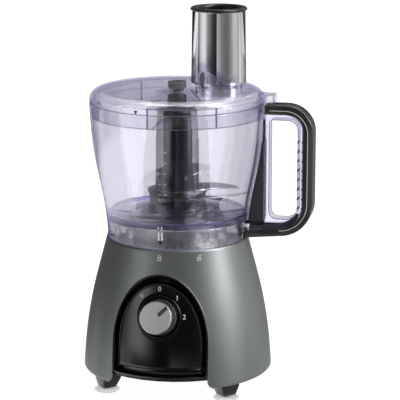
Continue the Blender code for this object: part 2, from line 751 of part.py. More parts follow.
def make_grip(spindle, looks):
    """Black outer band of the handle, from under the bowl round to the rim."""
    outside = [
        (67.6 * MM, 159.2 * MM),
        (109 * MM, 163.4 * MM),
        *arc((109.7 * MM, 198 * MM), HANDLE_REACH - 109.7 * MM, -88, 0, 7),
        *arc((115.2 * MM, GRIP_TOP - 29 * MM), HANDLE_REACH - 115.2 * MM, 0, 90, 7),
        (POST_X + GAP, GRIP_TOP),
    ]
    inside = [
        (POST_X + GAP, LOOP_TOP + GAP),
        *arc((117.5 * MM, LOOP_TOP - 15.6 * MM), LOOP_FAR + GAP - 117.5 * MM, 90, 0, 6),
        *arc((107 * MM, LOOP_BEND_Z), LOOP_FAR + GAP - 107 * MM, 0, -84, 6),
        (76 * MM, 166.8 * MM),
        (67.6 * MM, 165.9 * MM),
    ]
    half = GRIP_WIDTH / 2
    band = extruded(outside + inside, -half, half, "XZ")
    grip = add("handle_grip", band, looks["black"], spindle)
    rounding = grip.modifiers.new("rounding", "BEVEL")
    rounding.width = 2 * MM
    rounding.segments = 2
    rounding.limit_method = "ANGLE"
    rounding.angle_limit = math.radians(60)


def make_handle_core(spindle, looks):
    """Dark wedge between the bowl's wall and the handle's post, slotted for the rod."""
    low, high = CORE_Z
    steps = 5
    wall = []
    for i in range(steps + 1):
        z = low + (high - low) * i / steps
        wall.append((bowl_reach(z) + 1.2 * MM, z))
    outline = [(POST_X - GAP, low), (POST_X - GAP, high)] + wall[::-1]
    half = FRAME_WIDTH / 2
    core = add("handle_core", extruded(outline, -half, half, "XZ"), looks["charcoal"], spindle)
    slot = block((91 * MM, -SLOT_HALF, 160 * MM), (POST_X + 1 * MM, SLOT_HALF, 300 * MM))
    shape(core, tool("core_slot", slot, spindle))


def make_interlock_rod(spindle, looks):
    """L-shaped rod that carries the lid's push down the handle to the pin in the base."""
    outline = [
        (63, 162.6),
        (67, 162.6),
        (67, 172.6),
        (93.1, 174),
        (93.1, 298.4),
        (91.4, 298.4),
        (91.4, 176.8),
        (63, 176.8),
    ]
    rod = extruded(in_mm(outline), -2 * MM, 2 * MM, "XZ")
    add("interlock_rod", rod, looks["black"], spindle)


# ---------------------------------------------------------------- cutting tool


def blade_outline(reach):
    """Curved blade on a ring, seen from above, pointing along +X."""
    ring = 25
    start, end = math.radians(52), math.radians(-38)
    root_a = (ring * math.cos(start), ring * math.sin(start))
    root_b = (ring * math.cos(end), ring * math.sin(end))
    tip = (reach / MM, 0)
    out = bezier(root_a, (40, 27), (58, 19), tip, 7)
    back = bezier(tip, (52, 2), (36, -6), root_b, 6)
    return in_mm(out + back[1:] + arc((0, 0), ring, -38, -308, 16)[1:-1])


def make_tool(spindle, looks):
    stem = [
        (TOOL_BORE, 209.1 * MM),
        (23 * MM, 209.1 * MM),
        (21.4 * MM, 286 * MM),
        (20 * MM, 286.5 * MM),
        (20 * MM, 288 * MM),
        (21 * MM, 288.4 * MM),
        (21 * MM, 291 * MM),
        (18.3 * MM, 295 * MM),
        (10 * MM, 295 * MM),
        (10 * MM, 305.6 * MM),
        (9 * MM, 307 * MM),
        (0, 307 * MM),
        (0, 217 * MM),
        (TOOL_BORE, 217 * MM),
    ]
    body = add("tool_stem", turned(stem, 24), looks["black"], spindle)
    socket = turned(rod_profile(DOG_RADIUS + 0.5 * MM, 200 * MM, DOG_Z[1] + 3 * MM), 6)
    shape(body, tool("socket", socket, spindle))
    hub = [
        (TOOL_BORE, HUB_Z[0]),
        (30 * MM, HUB_Z[0]),
        (28.8 * MM, HUB_Z[1] - 2 * MM),
        (27 * MM, HUB_Z[1]),
        (TOOL_BORE, HUB_Z[1]),
    ]
    add("blade_hub", turned(hub, 24), looks["grey"], spindle)
    places = (
        ("blade_upper", 65 * MM, HUB_Z[1] + GAP, 12),
        ("blade_lower", 66 * MM, HUB_Z[0] - GAP - BLADE_THICK, 200),
    )
    for name, reach, low, turn in places:
        outline = blade_outline(reach)
        turned_to = (0, 0, math.radians(turn))
        blade = extruded(outline, low, low + BLADE_THICK)
        blade = add(name, blade, looks["steel"], spindle, rotation=turned_to)
        hole = turned(rod_profile(TOOL_BORE, low - 1 * MM, low + 3 * MM), 28)
        shape(blade, tool(name + "_hole", hole, spindle))


# ---------------------------------------------------------------- lid and pusher


def make_lid(spindle, looks):
    skirt = 87 * MM
    brim = 91 * MM
    shoulder = (79.5 * MM, LID_TOP_Z - 11.5 * MM)
    profile = [(skirt - 0.6 * MM, 285.5 * MM), (skirt, 289.5 * MM)]
    profile += [(skirt, 299.9 * MM), (brim, 299.9 * MM)]
    profile += arc(shoulder, 11.5 * MM, 0, 90, 5)
    profile += [(7.4 * MM, LID_TOP_Z), (7.4 * MM, LID_TOP_Z - LID_WALL)]
    profile += arc(shoulder, 11.5 * MM - LID_WALL, 90, 36, 3)
    profile += [(skirt - LID_WALL, 305 * MM), (skirt - LID_WALL, 285.5 * MM)]
    lid = add("lid", turned(profile, SEGMENTS), looks["clear"], spindle)
    x, y = TUBE_CENTRE
    floor = LID_TOP_Z - 1 * MM
    tube = turned(rod_profile(TUBE_RADIUS, floor, TUBE_TOP_Z), 28)
    shape(lid, tool("feed_tube", tube, spindle, (x, y, 0)), "UNION")
    tab = block((86 * MM, -9 * MM, 302.4 * MM), (103.3 * MM, 9 * MM, 311.2 * MM))
    shape(lid, tool("lid_tab", tab, spindle), "UNION")
    cam = block((91.4 * MM, -3 * MM, 298.8 * MM), (93.1 * MM, 3 * MM, 303 * MM))
    shape(lid, tool("lid_cam", cam, spindle), "UNION")
    bore = turned(rod_profile(TUBE_BORE, 300 * MM, 400 * MM), 28)
    shape(lid, tool("tube_bore", bore, spindle, (x, y, 0)))
    bush = [
        (0, 309.5 * MM),
        (7.1 * MM, 309.5 * MM),
        (7.1 * MM, LID_TOP_Z + GAP),
        (9.4 * MM, LID_TOP_Z + GAP),
        (9.4 * MM, 319.8 * MM),
        (8.6 * MM, 320.6 * MM),
        (5 * MM, 320.6 * MM),
        (4.6 * MM, 317 * MM),
        (0, 317 * MM),
    ]
    add("lid_bush", turned(bush, 28), looks["grey"], spindle)


def make_pusher(spindle, looks):
    place = (*TUBE_CENTRE, 0)
    sleeve = [
        (0, 303.5),
        (23.9, 303.5),
        (24.5, 304.2),
        (24.5, 391.2),
        (23.5, 391.2),
        (23.5, 304.8),
        (0, 304.8),
    ]
    cup = [
        (0, 305.3),
        (22.6, 305.3),
        (23.1, 306),
        (23.1, 391.8),
        (29.2, 391.8),
        (29.7, 392.6),
        (29.5, 394.4),
        (28.8, 395),
        (23.2, 395),
        (22.6, 394),
        (21.4, 307.4),
        (0, 307.4),
    ]
    add("pusher_sleeve", turned(in_mm(sleeve), 28), looks["chrome"], spindle, place)
    add("pusher_cup", turned(in_mm(cup), 28), looks["black"], spindle, place)


def main():
    clear_scene()
    looks = {
        "charcoal": material("charcoal", (0.075, 0.082, 0.082), 0.42),
        "gloss_black": material("gloss_black", (0.008, 0.008, 0.009), 0.08),
        "black": material("black", (0.012, 0.012, 0.013), 0.38),
        "frame": material("frame", (0.25, 0.25, 0.24), 0.6),
        "steel": material("steel", (0.6, 0.6, 0.6), 0.3, 1.0),
        "chrome": material("chrome", (0.75, 0.75, 0.76), 0.12, 1.0),
        "silver": material("silver", (0.42, 0.42, 0.43), 0.32, 0.6),
        "copper": material("copper", (0.55, 0.25, 0.12), 0.35, 1.0),
        "rubber": material("rubber", (0.02, 0.02, 0.02), 0.8),
        "grey": material("grey", (0.16, 0.16, 0.165), 0.45),
        "clear": material("clear", (0.85, 0.84, 0.93), 0.05, 0.0, 0.9),
        "clear_rubber": material("clear_rubber", (0.8, 0.82, 0.85), 0.25, 0.0, 0.6),
    }
    spindle = empty("spindle", None, (SPINDLE_X, 0, 0))
    make_base_shell(spindle, looks)
    make_front_moulding(spindle, looks)
    make_base_plate(spindle, looks)
    make_feet(spindle, looks)
    make_screws(spindle, looks)
    make_frames(spindle, looks)
    make_motor(spindle, looks)
    make_output(spindle, looks)
    make_dial(spindle, looks)
    make_interlock(spindle, looks)
    make_cord_inlet(spindle, looks)
    make_bowl(spindle, looks)
    make_handle_frame(spindle, looks)
    make_grip(spindle, looks)
    make_handle_core(spindle, looks)
    make_interlock_rod(spindle, looks)
    make_tool(spindle, looks)
    make_lid(spindle, looks)
    make_pusher(spindle, looks)


main()
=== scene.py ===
"""The food processor's looks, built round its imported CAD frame.

Pieces are modelled in millimetres about the spindle's axis: the front is -Y, the bowl's
handle is at +X, and the table is at 0. They are turned into metres as they become objects.
"""

import math
from bisect import bisect

import bmesh
import bpy
from mathutils import Matrix, Vector


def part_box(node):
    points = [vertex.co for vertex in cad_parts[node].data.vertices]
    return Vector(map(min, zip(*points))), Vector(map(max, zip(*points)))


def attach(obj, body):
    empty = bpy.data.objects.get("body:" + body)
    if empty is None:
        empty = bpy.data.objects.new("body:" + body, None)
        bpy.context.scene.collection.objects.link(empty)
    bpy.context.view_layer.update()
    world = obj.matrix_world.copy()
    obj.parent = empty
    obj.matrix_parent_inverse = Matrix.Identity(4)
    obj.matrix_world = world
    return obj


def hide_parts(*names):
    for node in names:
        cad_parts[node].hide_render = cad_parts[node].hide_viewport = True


MM = 0.001
TURN = 2 * math.pi

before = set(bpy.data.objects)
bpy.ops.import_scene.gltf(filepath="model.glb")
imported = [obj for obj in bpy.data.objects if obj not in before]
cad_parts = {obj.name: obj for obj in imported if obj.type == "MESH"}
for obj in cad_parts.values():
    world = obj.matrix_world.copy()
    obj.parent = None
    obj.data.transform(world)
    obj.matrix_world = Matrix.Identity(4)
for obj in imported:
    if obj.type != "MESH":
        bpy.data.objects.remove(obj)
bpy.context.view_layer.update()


# ---- sizes from the frame


def span(node):
    """A CAD node's lowest and highest corner in millimetres, about the spindle's axis."""
    low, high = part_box(node)
    shift = Vector((SPINDLE_X, 0, 0))
    return (low - shift) / MM, (high - shift) / MM


SPINDLE_X = sum(corner.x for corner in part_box("output_shaft")) / 2
SHELL = span("base_shell")
BASE_R = SHELL[1].y
TURRET_Z = SHELL[1].z
PLATE = span("base_plate")
MOULDING = span("front_moulding")
ARCH_HALF = MOULDING[1].x + 0.3
ARCH_APEX = MOULDING[1].z + 0.3
BOWL = span("bowl")
BOWL_R = BOWL[1].y
BOWL_FOOT = BOWL[0].z
BOWL_RIM = BOWL[1].z
SEAT_Z = BOWL_FOOT - 0.3
LID = span("lid")
SLEEVE = span("pusher_sleeve")
CUP = span("pusher_cup")
TUBE_X = (SLEEVE[0].x + SLEEVE[1].x) / 2
TUBE_Y = (SLEEVE[0].y + SLEEVE[1].y) / 2
TUBE_PLACE = Matrix.Translation((TUBE_X * MM, TUBE_Y * MM, 0))
HANDLE = span("handle_frame")
GRIP = span("handle_grip")
CORE = span("handle_core")
HUB = span("blade_hub")
STEM = span("tool_stem")
BUSH = span("lid_bush")
INLET = span("cord_inlet")
INLET_Z = (INLET[0].z + INLET[1].z) / 2

SEAT_R = 73.9
WALL = 2.8  # thickness of the bowl's wall
SKIRT_R = 73.2
FLOOR_Z = (178.5, 181.5)
TURRET_R = 51.0
LID_TOP = 313.5
TUBE_R = 27.6
DIAL_TILT = math.radians(13)
DIAL_CENTRE = Vector((0, -86, 91.6))
DIAL_AXIS = Vector((0, -math.cos(DIAL_TILT), math.sin(DIAL_TILT)))
DIAL_UP = Vector((0, math.sin(DIAL_TILT), math.cos(DIAL_TILT)))
POINTER_TURN = math.radians(45)
PANEL_DEPTH = 5.0  # how far the control panel lies under the bell's surface
CHANNEL_DEPTH = 9.5
CUP_REACH = 84.5  # from the spindle's axis to a suction cup's
LOOP_BEND = (107, 197)  # centre of the handle loop's lower bend
TOOL_BORE = 15.6
LID_SKIRT_R = 87.0
TUBE_BORE = 25  # radius of the feed tube's inside
FINGER_GAP = (98.9, 127.9, 181.3, 284.6)  # near, far, low and high edge of the handle's opening

# The view: the camera's direction and distance from the spindle's axis
VIEW_AZIMUTH = math.radians(12.8)
VIEW_PITCH = math.radians(13.05)
VIEW_DISTANCE = 1.885
VIEW_HEIGHT = 0.19425
VIEW_SIDESTEP = 0.0237
VIEW_LENS = 161.6
BOUNCES = 24  # enough for light to cross lid, bowl and chimney


# ---- outlines


def bezier(start, pull_a, pull_b, end, steps):
    points = []
    for t in [i / steps for i in range(steps + 1)]:
        weights = ((1 - t) ** 3, 3 * t * (1 - t) ** 2, 3 * t * t * (1 - t), t**3)
        corners = list(zip(weights, (start, pull_a, pull_b, end)))
        points.append(tuple(sum(w * corner[k] for w, corner in corners) for k in (0, 1)))
    return points


def arc(centre, radius, start_deg, end_deg, steps):
    x, y = centre
    turns = [math.radians(start_deg + (end_deg - start_deg) * i / steps) for i in range(steps + 1)]
    return [(x + radius * math.cos(turn), y + radius * math.sin(turn)) for turn in turns]


def rounded(corners):
    """A closed outline of (x, y) or (x, y, radius) corners; a corner with a radius becomes an arc."""
    steps = 4
    points = []
    for i, corner in enumerate(corners):
        here = Vector(corner[:2])
        if len(corner) < 3:
            points.append(tuple(here))
            continue
        back = Vector(corners[i - 1][:2]) - here
        ahead = Vector(corners[(i + 1) % len(corners)][:2]) - here
        half = back.angle(ahead) / 2
        reach = min(corner[2] / math.tan(half), 0.48 * back.length, 0.48 * ahead.length)
        radius = reach * math.tan(half)
        middle = back.normalized() + ahead.normalized()
        centre = here + middle.normalized() * (radius / math.sin(half))
        start = here + back.normalized() * reach - centre
        end = here + ahead.normalized() * reach - centre
        for k in range(steps + 1):
            points.append(tuple(centre + start.lerp(end, k / steps).normalized() * radius))
    return points


def oblong(low, high, *radius):
    """A rectangle's corners, with a radius each where one is given."""
    (x0, y0), (x1, y1) = low, high
    return [(x, y, *radius) for x, y in ((x0, y0), (x1, y0), (x1, y1), (x0, y1))]


BELL_LINE = bezier((BASE_R, SHELL[0].z), (96, 86), (85, 114), (SEAT_R, SEAT_Z), 200)
BOWL_LINE = bezier((SKIRT_R, 165), (77.5, 221), (88.5, 227), (BOWL_R, BOWL_RIM), 200)


def radius_at(line, z):
    """Radius of a (radius, z) line at a height."""
    heights = [point[1] for point in line]
    i = min(max(bisect(heights, z), 1), len(line) - 1)
    (r0, z0), (r1, z1) = line[i - 1], line[i]
    return r0 + (r1 - r0) * min(max((z - z0) / (z1 - z0), 0), 1)


def thinned(line, low, high, steps, inset=0.0):
    """Evenly spaced points of a (radius, z) line between two heights, moved inwards."""
    heights = [low + (high - low) * i / steps for i in range(steps + 1)]
    return [(radius_at(line, z) - inset, z) for z in heights]


def on_bell(x, z, inset=0.0):
    """Point of the bell's front at a sideways place and a height, this far under its surface."""
    reach = radius_at(BELL_LINE, z) - inset
    return Vector((x, -math.sqrt(max(reach * reach - x * x, 0)), z))


def on_front(outline, depth):
    """An (x, z) outline laid on the bell's front, this far under its surface."""
    return [on_bell(x, z, depth) for x, z in outline]


def at_angle(radius, angle_deg, z):
    """Point seen from above: 0 degrees is the front, and it grows towards the handle."""
    angle = math.radians(angle_deg)
    return Vector((radius * math.sin(angle), -radius * math.cos(angle), z))


# ---- meshes


def lathe(profile, segments=128, wave=None):
    """A closed (radius, z) profile turned about Z. wave scales a point's radius by angle and z."""
    bm = bmesh.new()
    rings = []
    for radius, z in profile:
        if radius < 1e-6:
            rings.append([bm.verts.new((0, 0, z))] * segments)
            continue
        ring = []
        for i in range(segments):
            angle = TURN * i / segments
            reach = radius * (wave(angle, z) if wave else 1)
            ring.append(bm.verts.new((reach * math.cos(angle), reach * math.sin(angle), z)))
        rings.append(ring)
    for low, high in zip(rings, rings[1:] + rings[:1]):
        for i in range(segments):
            j = (i + 1) % segments
            corners = list(dict.fromkeys((low[i], low[j], high[j], high[i])))
            if len(corners) > 2:
                bm.faces.new(corners)
    return bm


def turned(corners, segments=128):
    """A lathe of corners that may have radii."""
    return lathe(rounded(corners), segments)


def cylinder(radius, low, high, segments=48):
    return lathe([(0, low), (radius, low), (radius, high), (0, high)], segments)


def loft(loops, close=False, cap=True):
    """Faces between loops of equal length; close joins the last loop to the first."""
    bm = bmesh.new()
    rings = [[bm.verts.new(point) for point in loop] for loop in loops]
    pairs = list(zip(rings, rings[1:]))
    if close:
        pairs.append((rings[-1], rings[0]))
    for low, high in pairs:
        for i in range(len(low)):
            j = (i + 1) % len(low)
            bm.faces.new((low[i], low[j], high[j], high[i]))
    if cap and not close:
        bm.faces.new(rings[0])
        bm.faces.new(rings[-1])
    return bm


def tube(path, radius, sides=8, closed=False):
    """A round bar along a line of vectors."""
    angles = [TURN * k / sides for k in range(sides)]
    loops = []
    count = len(path)
    side = Vector((0, 0, 1))
    for i, point in enumerate(path):
        before = path[(i - 1) % count] if closed else path[max(i - 1, 0)]
        after = path[(i + 1) % count] if closed else path[min(i + 1, count - 1)]
        along = (after - before).normalized()
        side = (side - along * side.dot(along)).normalized()
        other = along.cross(side)
        spokes = [side * math.cos(angle) + other * math.sin(angle) for angle in angles]
        loops.append([point + spoke * radius for spoke in spokes])
    return loft(loops, close=closed)


def slab(outline, low, high, plane="XZ"):
    """An outline pushed from low to high: XZ along Y, or XY along Z."""
    if plane == "XY":
        loops = [[(x, y, depth) for x, y in outline] for depth in (low, high)]
    else:
        loops = [[(x, depth, z) for x, z in outline] for depth in (low, high)]
    return loft(loops)


def block(low, high):
    return slab(oblong(low[:2], high[:2]), low[2], high[2], "XY")


def softened(bm, width, steps=2, limit=40):
    """The same solid with its sharp edges rounded."""
    bmesh.ops.recalc_face_normals(bm, faces=bm.faces)
    limit = math.radians(limit)
    sharp = [e for e in bm.edges if len(e.link_faces) == 2 and e.calc_face_angle() > limit]
    bmesh.ops.bevel(
        bm, geom=sharp, offset=width, segments=steps, profile=0.5, affect="EDGES", clamp_overlap=True
    )
    return bm


def moved(bm, offset=(0, 0, 0), turn=0.0, tilt=0.0):
    """The same mesh tilted about X, turned about Z, then moved. Angles are in degrees."""
    place = Matrix.Translation(offset) @ Matrix.Rotation(math.radians(turn), 4, "Z")
    place @= Matrix.Rotation(math.radians(tilt), 4, "X")
    bmesh.ops.transform(bm, matrix=place, verts=bm.verts)
    return bm


def as_mesh(name, bm):
    """A mesh of bm, its faces turned outwards. bm is used up."""
    bmesh.ops.recalc_face_normals(bm, faces=bm.faces)
    mesh = bpy.data.meshes.new(name)
    bm.to_mesh(mesh)
    bm.free()
    return mesh


def add_object(name, data):
    obj = bpy.data.objects.new(name, data)
    bpy.context.scene.collection.objects.link(obj)
    return obj


def joined(pieces):
    """Several meshes in one, side by side."""
    whole = bmesh.new()
    for bm in pieces:
        scratch = as_mesh("scratch", bm)
        whole.from_mesh(scratch)
        bpy.data.meshes.remove(scratch)
    return whole


CUT = "DIFFERENCE"
ADD = "UNION"


def carved(bm, *steps):
    """A solid changed by Booleans. Each step is a pair: CUT or ADD, and a mesh."""
    target = add_object("scratch", as_mesh("scratch", bm))
    cutters = []
    for operation, cutter in steps:
        change = target.modifiers.new("change", "BOOLEAN")
        change.operation = operation
        change.object = add_object("scratch", as_mesh("scratch", cutter))
        change.solver = "EXACT"
        cutters.append(change.object)
    graph = bpy.context.evaluated_depsgraph_get()
    result = bmesh.new()
    result.from_object(target, graph)
    for obj in [target, *cutters]:
        mesh = obj.data
        bpy.data.objects.remove(obj)
        bpy.data.meshes.remove(mesh)
    bmesh.ops.remove_doubles(result, verts=result.verts, dist=1e-4)
    return result


def piece(name, bm, look, body, nodes=(), place=None, sharp=35):
    """Makes an object of a mesh in millimetres that rides on a body and replaces nodes."""
    bmesh.ops.scale(bm, vec=(MM, MM, MM), verts=bm.verts)
    mesh = as_mesh(name, bm)
    mesh.shade_smooth()
    mesh.set_sharp_from_angle(angle=math.radians(sharp))
    mesh.materials.append(LOOKS[look])
    obj = add_object(name, mesh)
    axis = Matrix.Translation((SPINDLE_X, 0, 0))
    obj.matrix_world = axis @ place if place else axis
    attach(obj, body)
    if nodes:
        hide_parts(*nodes)


def ribbon(points, width):
    """Quads along a line in a plane, for printed marks."""
    sides = []
    for i, point in enumerate(points):
        here = Vector(point)
        ahead = Vector(points[min(i + 1, len(points) - 1)]) - Vector(points[max(i - 1, 0)])
        across = Vector((-ahead.y, ahead.x)).normalized() * width / 2
        sides.append((here + across, here - across))
    return [[tuple(a), tuple(b), tuple(d), tuple(c)] for (a, b), (c, d) in zip(sides, sides[1:])]


def printed(polygons, surface):
    """Flat shapes laid on a surface: surface(u, v) gives the point for a place in the plane."""
    bm = bmesh.new()
    for polygon in polygons:
        bm.faces.new([bm.verts.new(surface(u, v)) for u, v in polygon])
    return bm


def lettering(text, size):
    """Triangles of a short text in the plane, centred on the origin."""
    curve = bpy.data.curves.new("lettering", "FONT")
    curve.body = text
    curve.size = size
    curve.align_x = "CENTER"
    curve.align_y = "CENTER"
    obj = add_object("lettering", curve)
    graph = bpy.context.evaluated_depsgraph_get()
    mesh = obj.evaluated_get(graph).to_mesh()
    mesh.calc_loop_triangles()
    corners = [tuple(vertex.co[:2]) for vertex in mesh.vertices]
    shapes = [[corners[i] for i in triangle.vertices] for triangle in mesh.loop_triangles]
    bpy.data.objects.remove(obj)
    bpy.data.curves.remove(curve)
    return shapes


# ---- materials


def node(tree, kind, inputs=None, **settings):
    """Adds a shader node. inputs gives its sockets, by name or number, a value or another's output."""
    made = tree.nodes.new("ShaderNode" + kind)
    for key, value in settings.items():
        setattr(made, key, value)
    fill(tree, made, inputs or {})
    return made


def fill(tree, made, inputs):
    for key, value in inputs.items():
        if isinstance(value, bpy.types.NodeSocket):
            tree.links.new(value, made.inputs[key])
        else:
            made.inputs[key].default_value = value


def new_material(name):
    """A material with its node tree, its shader and its output node."""
    made = bpy.data.materials.new(name)
    made.use_nodes = True
    nodes = made.node_tree.nodes
    return made, made.node_tree, nodes["Principled BSDF"], nodes["Material Output"]


def noise(tree, scale, stretch=(1, 1, 1)):
    """Noise in the object's own coordinates; scale is in cycles per metre."""
    coords = node(tree, "TexCoord").outputs["Object"]
    mapped = node(tree, "Mapping", {"Vector": coords, "Scale": stretch}).outputs["Vector"]
    made = node(tree, "TexNoise", {"Vector": mapped, "Scale": scale, "Detail": 3})
    return made.outputs["Fac"]


def remap(tree, value, source=(0, 1), result=(0, 1), **settings):
    """Maps a value from the range source to the range result."""
    ranges = {"From Min": source[0], "From Max": source[1], "To Min": result[0], "To Max": result[1]}
    return node(tree, "MapRange", {"Value": value, **ranges}, **settings).outputs["Result"]


def calc(tree, operation, first, second):
    return node(tree, "Math", {0: first, 1: second}, operation=operation).outputs[0]


def at_least_one(tree, count):
    return calc(tree, "GREATER_THAN", count, 0.5)


def blend(tree, factor, first, second):
    made = node(tree, "Mix", {"Factor": factor, "A": first, "B": second}, data_type="RGBA")
    return made.outputs["Result"]


def look(name, colour, roughness, metallic=0.0, grain=1500, bump=0.1, mottle=0.05,
         stretch=(1, 1, 1), wander=0.12):
    """A moulded, painted or metal surface: slight colour drift, uneven gloss and fine relief."""
    made, tree, shader, _ = new_material(name)
    darker = (*[c * (1 - mottle) for c in colour], 1)
    lighter = (*[c * (1 + mottle) for c in colour], 1)
    fine = noise(tree, grain, stretch)
    gloss = (roughness * (1 - wander), roughness * (1 + wander))
    relief = node(tree, "Bump", {"Strength": bump, "Distance": 0.00005, "Height": fine})
    fill(tree, shader, {
        "Metallic": metallic,
        "Base Color": blend(tree, noise(tree, 30), darker, lighter),
        "Roughness": remap(tree, fine, result=gloss),
        "Normal": relief.outputs["Normal"],
    })
    return made


VIOLET = (0.41, 0.39, 0.925)


def clear_look(name, tint, density, roughness=0.015, shade=0.93, straight=0.0, faint=False,
               absorb=VIOLET):
    """Clear plastic that lamps shine through and that takes the colour absorb where it is thick.

    The share straight does not refract. Reflections look straight through faint plastic.
    """
    made, tree, shader, output = new_material(name)
    fill(tree, shader, {
        "Base Color": (*tint, 1),
        "Transmission Weight": 1,
        "IOR": 1.47,
        "Roughness": remap(tree, noise(tree, 60), result=(roughness * 0.5, roughness * 1.5)),
    })
    path = node(tree, "LightPath").outputs
    unbent = calc(tree, "MAXIMUM", path["Is Shadow Ray"], path["Is Diffuse Ray"])
    if faint:
        unbent = calc(tree, "MAXIMUM", unbent, at_least_one(tree, path["Glossy Depth"]))
    unbent = calc(tree, "MAXIMUM", unbent, straight)
    dimmed = (shade, shade * 0.995, min(shade * 1.02, 1), 1)
    through = node(tree, "BsdfTransparent", {"Color": dimmed}).outputs["BSDF"]
    mix = node(tree, "MixShader", {"Fac": unbent, 1: shader.outputs["BSDF"], 2: through})
    volume = node(tree, "VolumeAbsorption", {"Color": (*absorb, 1), "Density": density})
    fill(tree, output, {"Surface": mix.outputs["Shader"], "Volume": volume.outputs["Volume"]})
    return made


# Name, slot, then as look() takes them: colour, roughness, metallic, grain in cycles per metre,
# relief, drift of the colour, stretch of the grain, unevenness of the gloss
SOLID_LOOKS = (
    ("charcoal", "charcoal_plastic", (0.20, 0.212, 0.212), 0.38, 0.78, 2600, 0.12, 0.04),
    ("gloss_black", "gloss_black", (0.0025, 0.0025, 0.0025), 0.14, 0.0, 400, 0.015, 0.1, (1, 1, 1), 0.2),
    ("black", "black_plastic", (0.010, 0.010, 0.011), 0.3, 0.0, 2200, 0.12),
    ("grip", "black_plastic", (0.15, 0.148, 0.144), 0.18, 0.9, 1800, 0.03),
    ("stem_black", "black_plastic", (0.15, 0.15, 0.153), 0.12, 1.0, 1500, 0.0, 0.03),
    ("wedge", "charcoal_plastic", (0.030, 0.030, 0.038), 0.38, 0.0, 2000, 0.1),
    ("grey", "grey_plastic", (0.11, 0.12, 0.125), 0.34, 0.0, 2000, 0.1),
    ("light_grey", "grey_plastic", (0.13, 0.13, 0.13), 0.35, 0.2, 2500, 0.2),
    ("frame", "frame_plastic", (0.25, 0.25, 0.24), 0.6),
    ("steel", "blade_steel", (0.55, 0.56, 0.57), 0.24, 1.0, 900, 0.12, 0.05, (1, 9, 1), 0.3),
    ("chrome", "chrome_steel", (0.83, 0.83, 0.83), 0.07, 1.0, 500, 0.02, 0.02, (6, 6, 0.3), 0.35),
    ("turret", "machine_steel", (0.46, 0.455, 0.43), 0.27, 0.85, 700, 0.08, 0.04, (1, 1, 12), 0.3),
    ("dial_silver", "dial_silver", (0.56, 0.555, 0.545), 0.36, 0.55, 1600, 0.35, 0.06),
    ("dial_rim", "dial_silver", (0.75, 0.75, 0.75), 0.18, 0.9, 1600, 0.05),
    ("dial_body", "black_plastic", (0.26, 0.25, 0.24), 0.25, 0.85, 1200, 0.05),
    ("pointer", "black_plastic", (0.045, 0.045, 0.045), 0.4, 0.0, 900, 0.6, 0.2),
    ("copper", "copper_winding", (0.55, 0.25, 0.12), 0.35, 1.0, 900, 0.3),
    ("rubber", "black_rubber", (0.02, 0.02, 0.02), 0.75, 0.0, 1800, 0.25),
    ("print", "dial_silver", (0.72, 0.72, 0.72), 0.5, 0.0, 3000, 0.1),
    ("dim_print", "dial_silver", (0.36, 0.36, 0.35), 0.55, 0.0, 3000, 0.1),
)
# Name, slot, then as clear_look() takes them: tint, density, roughness, shade of what shines
# through, straight share, faint or not, colour of thick parts
CLEAR_LOOKS = (
    ("clear", "clear_plastic", (0.93, 0.925, 0.94), 22, 0.015, 0.95, 0.35),
    ("lid_clear", "clear_plastic", (0.93, 0.925, 0.935), 20, 0.015, 0.935, 0.55, True),
    ("tube_clear", "clear_plastic", (0.97, 0.97, 0.975), 8),
    # The next look is dark-tinted clear plastic: painted shade for the dark lines that refraction draws
    # along clear edges, rims and ribs.
    ("clear_edge_shade", "clear_plastic", (0.32, 0.29, 0.44), 120, 0.05, 0.6),
    ("pale_rubber", "pale_rubber", (0.93, 0.94, 0.95), 40, 0.35, 0.8, 0.0, False, (0.8, 0.82, 0.85)),
)
LOOKS = {name: look(name, *settings) for name, _, *settings in SOLID_LOOKS}
LOOKS.update({name: clear_look(name, *settings) for name, _, *settings in CLEAR_LOOKS})
LOOKS["gloss_black"].node_tree.nodes["Principled BSDF"].inputs["IOR"].default_value = 1.6


# ---- studio


def ramp(tree, azimuth, stops):
    """Brightness by direction. stops are (degrees from the camera towards its right, brightness)."""
    made = node(tree, "ValToRGB", {"Fac": azimuth})
    brightest = max(level for _, level in stops)
    camera = math.degrees(VIEW_AZIMUTH)
    places = sorted((((camera + angle + 180) / 360) % 1, level) for angle, level in stops)
    elements = made.color_ramp.elements
    while len(elements) < len(places):
        elements.new(0.5)
    for element, (place, level) in zip(elements, places):
        element.position = place
        element.color = (level / brightest,) * 3 + (1,)
    inputs = {0: made.outputs["Color"], "Scale": brightest}
    return node(tree, "VectorMath", inputs, operation="SCALE").outputs["Vector"]


def make_backdrop():
    """White world, with softboxes and dark flags that only reflections see."""
    world = bpy.data.worlds.new("studio")
    bpy.context.scene.world = world
    world.use_nodes = True
    world.cycles.sampling_method = "NONE"
    tree = world.node_tree
    coords = node(tree, "TexCoord").outputs["Generated"]
    parts = node(tree, "SeparateXYZ", {"Vector": coords}).outputs
    turn = calc(tree, "ARCTAN2", parts["X"], calc(tree, "MULTIPLY", parts["Y"], -1))
    azimuth = remap(tree, turn, (-math.pi, math.pi))
    bands = ramp(tree, azimuth, DEEP_BANDS)
    for stops, low, high in ((LOW_BANDS, -18, -15.5), (HIGH_BANDS, -7.0, -6.2), (TOP_BANDS, 11, 19)):
        heights = (math.sin(math.radians(low)), math.sin(math.radians(high)))
        rise = remap(tree, parts["Z"], heights, interpolation_type="SMOOTHSTEP")
        bands = blend(tree, rise, bands, ramp(tree, azimuth, stops))
    path = node(tree, "LightPath").outputs
    seen = blend(tree, at_least_one(tree, path["Glossy Depth"]), (1, 1, 1, 1), bands)
    seen = blend(tree, at_least_one(tree, path["Diffuse Depth"]), seen, ramp(tree, azimuth, DOME))
    fill(tree, tree.nodes["Background"], {"Color": seen})


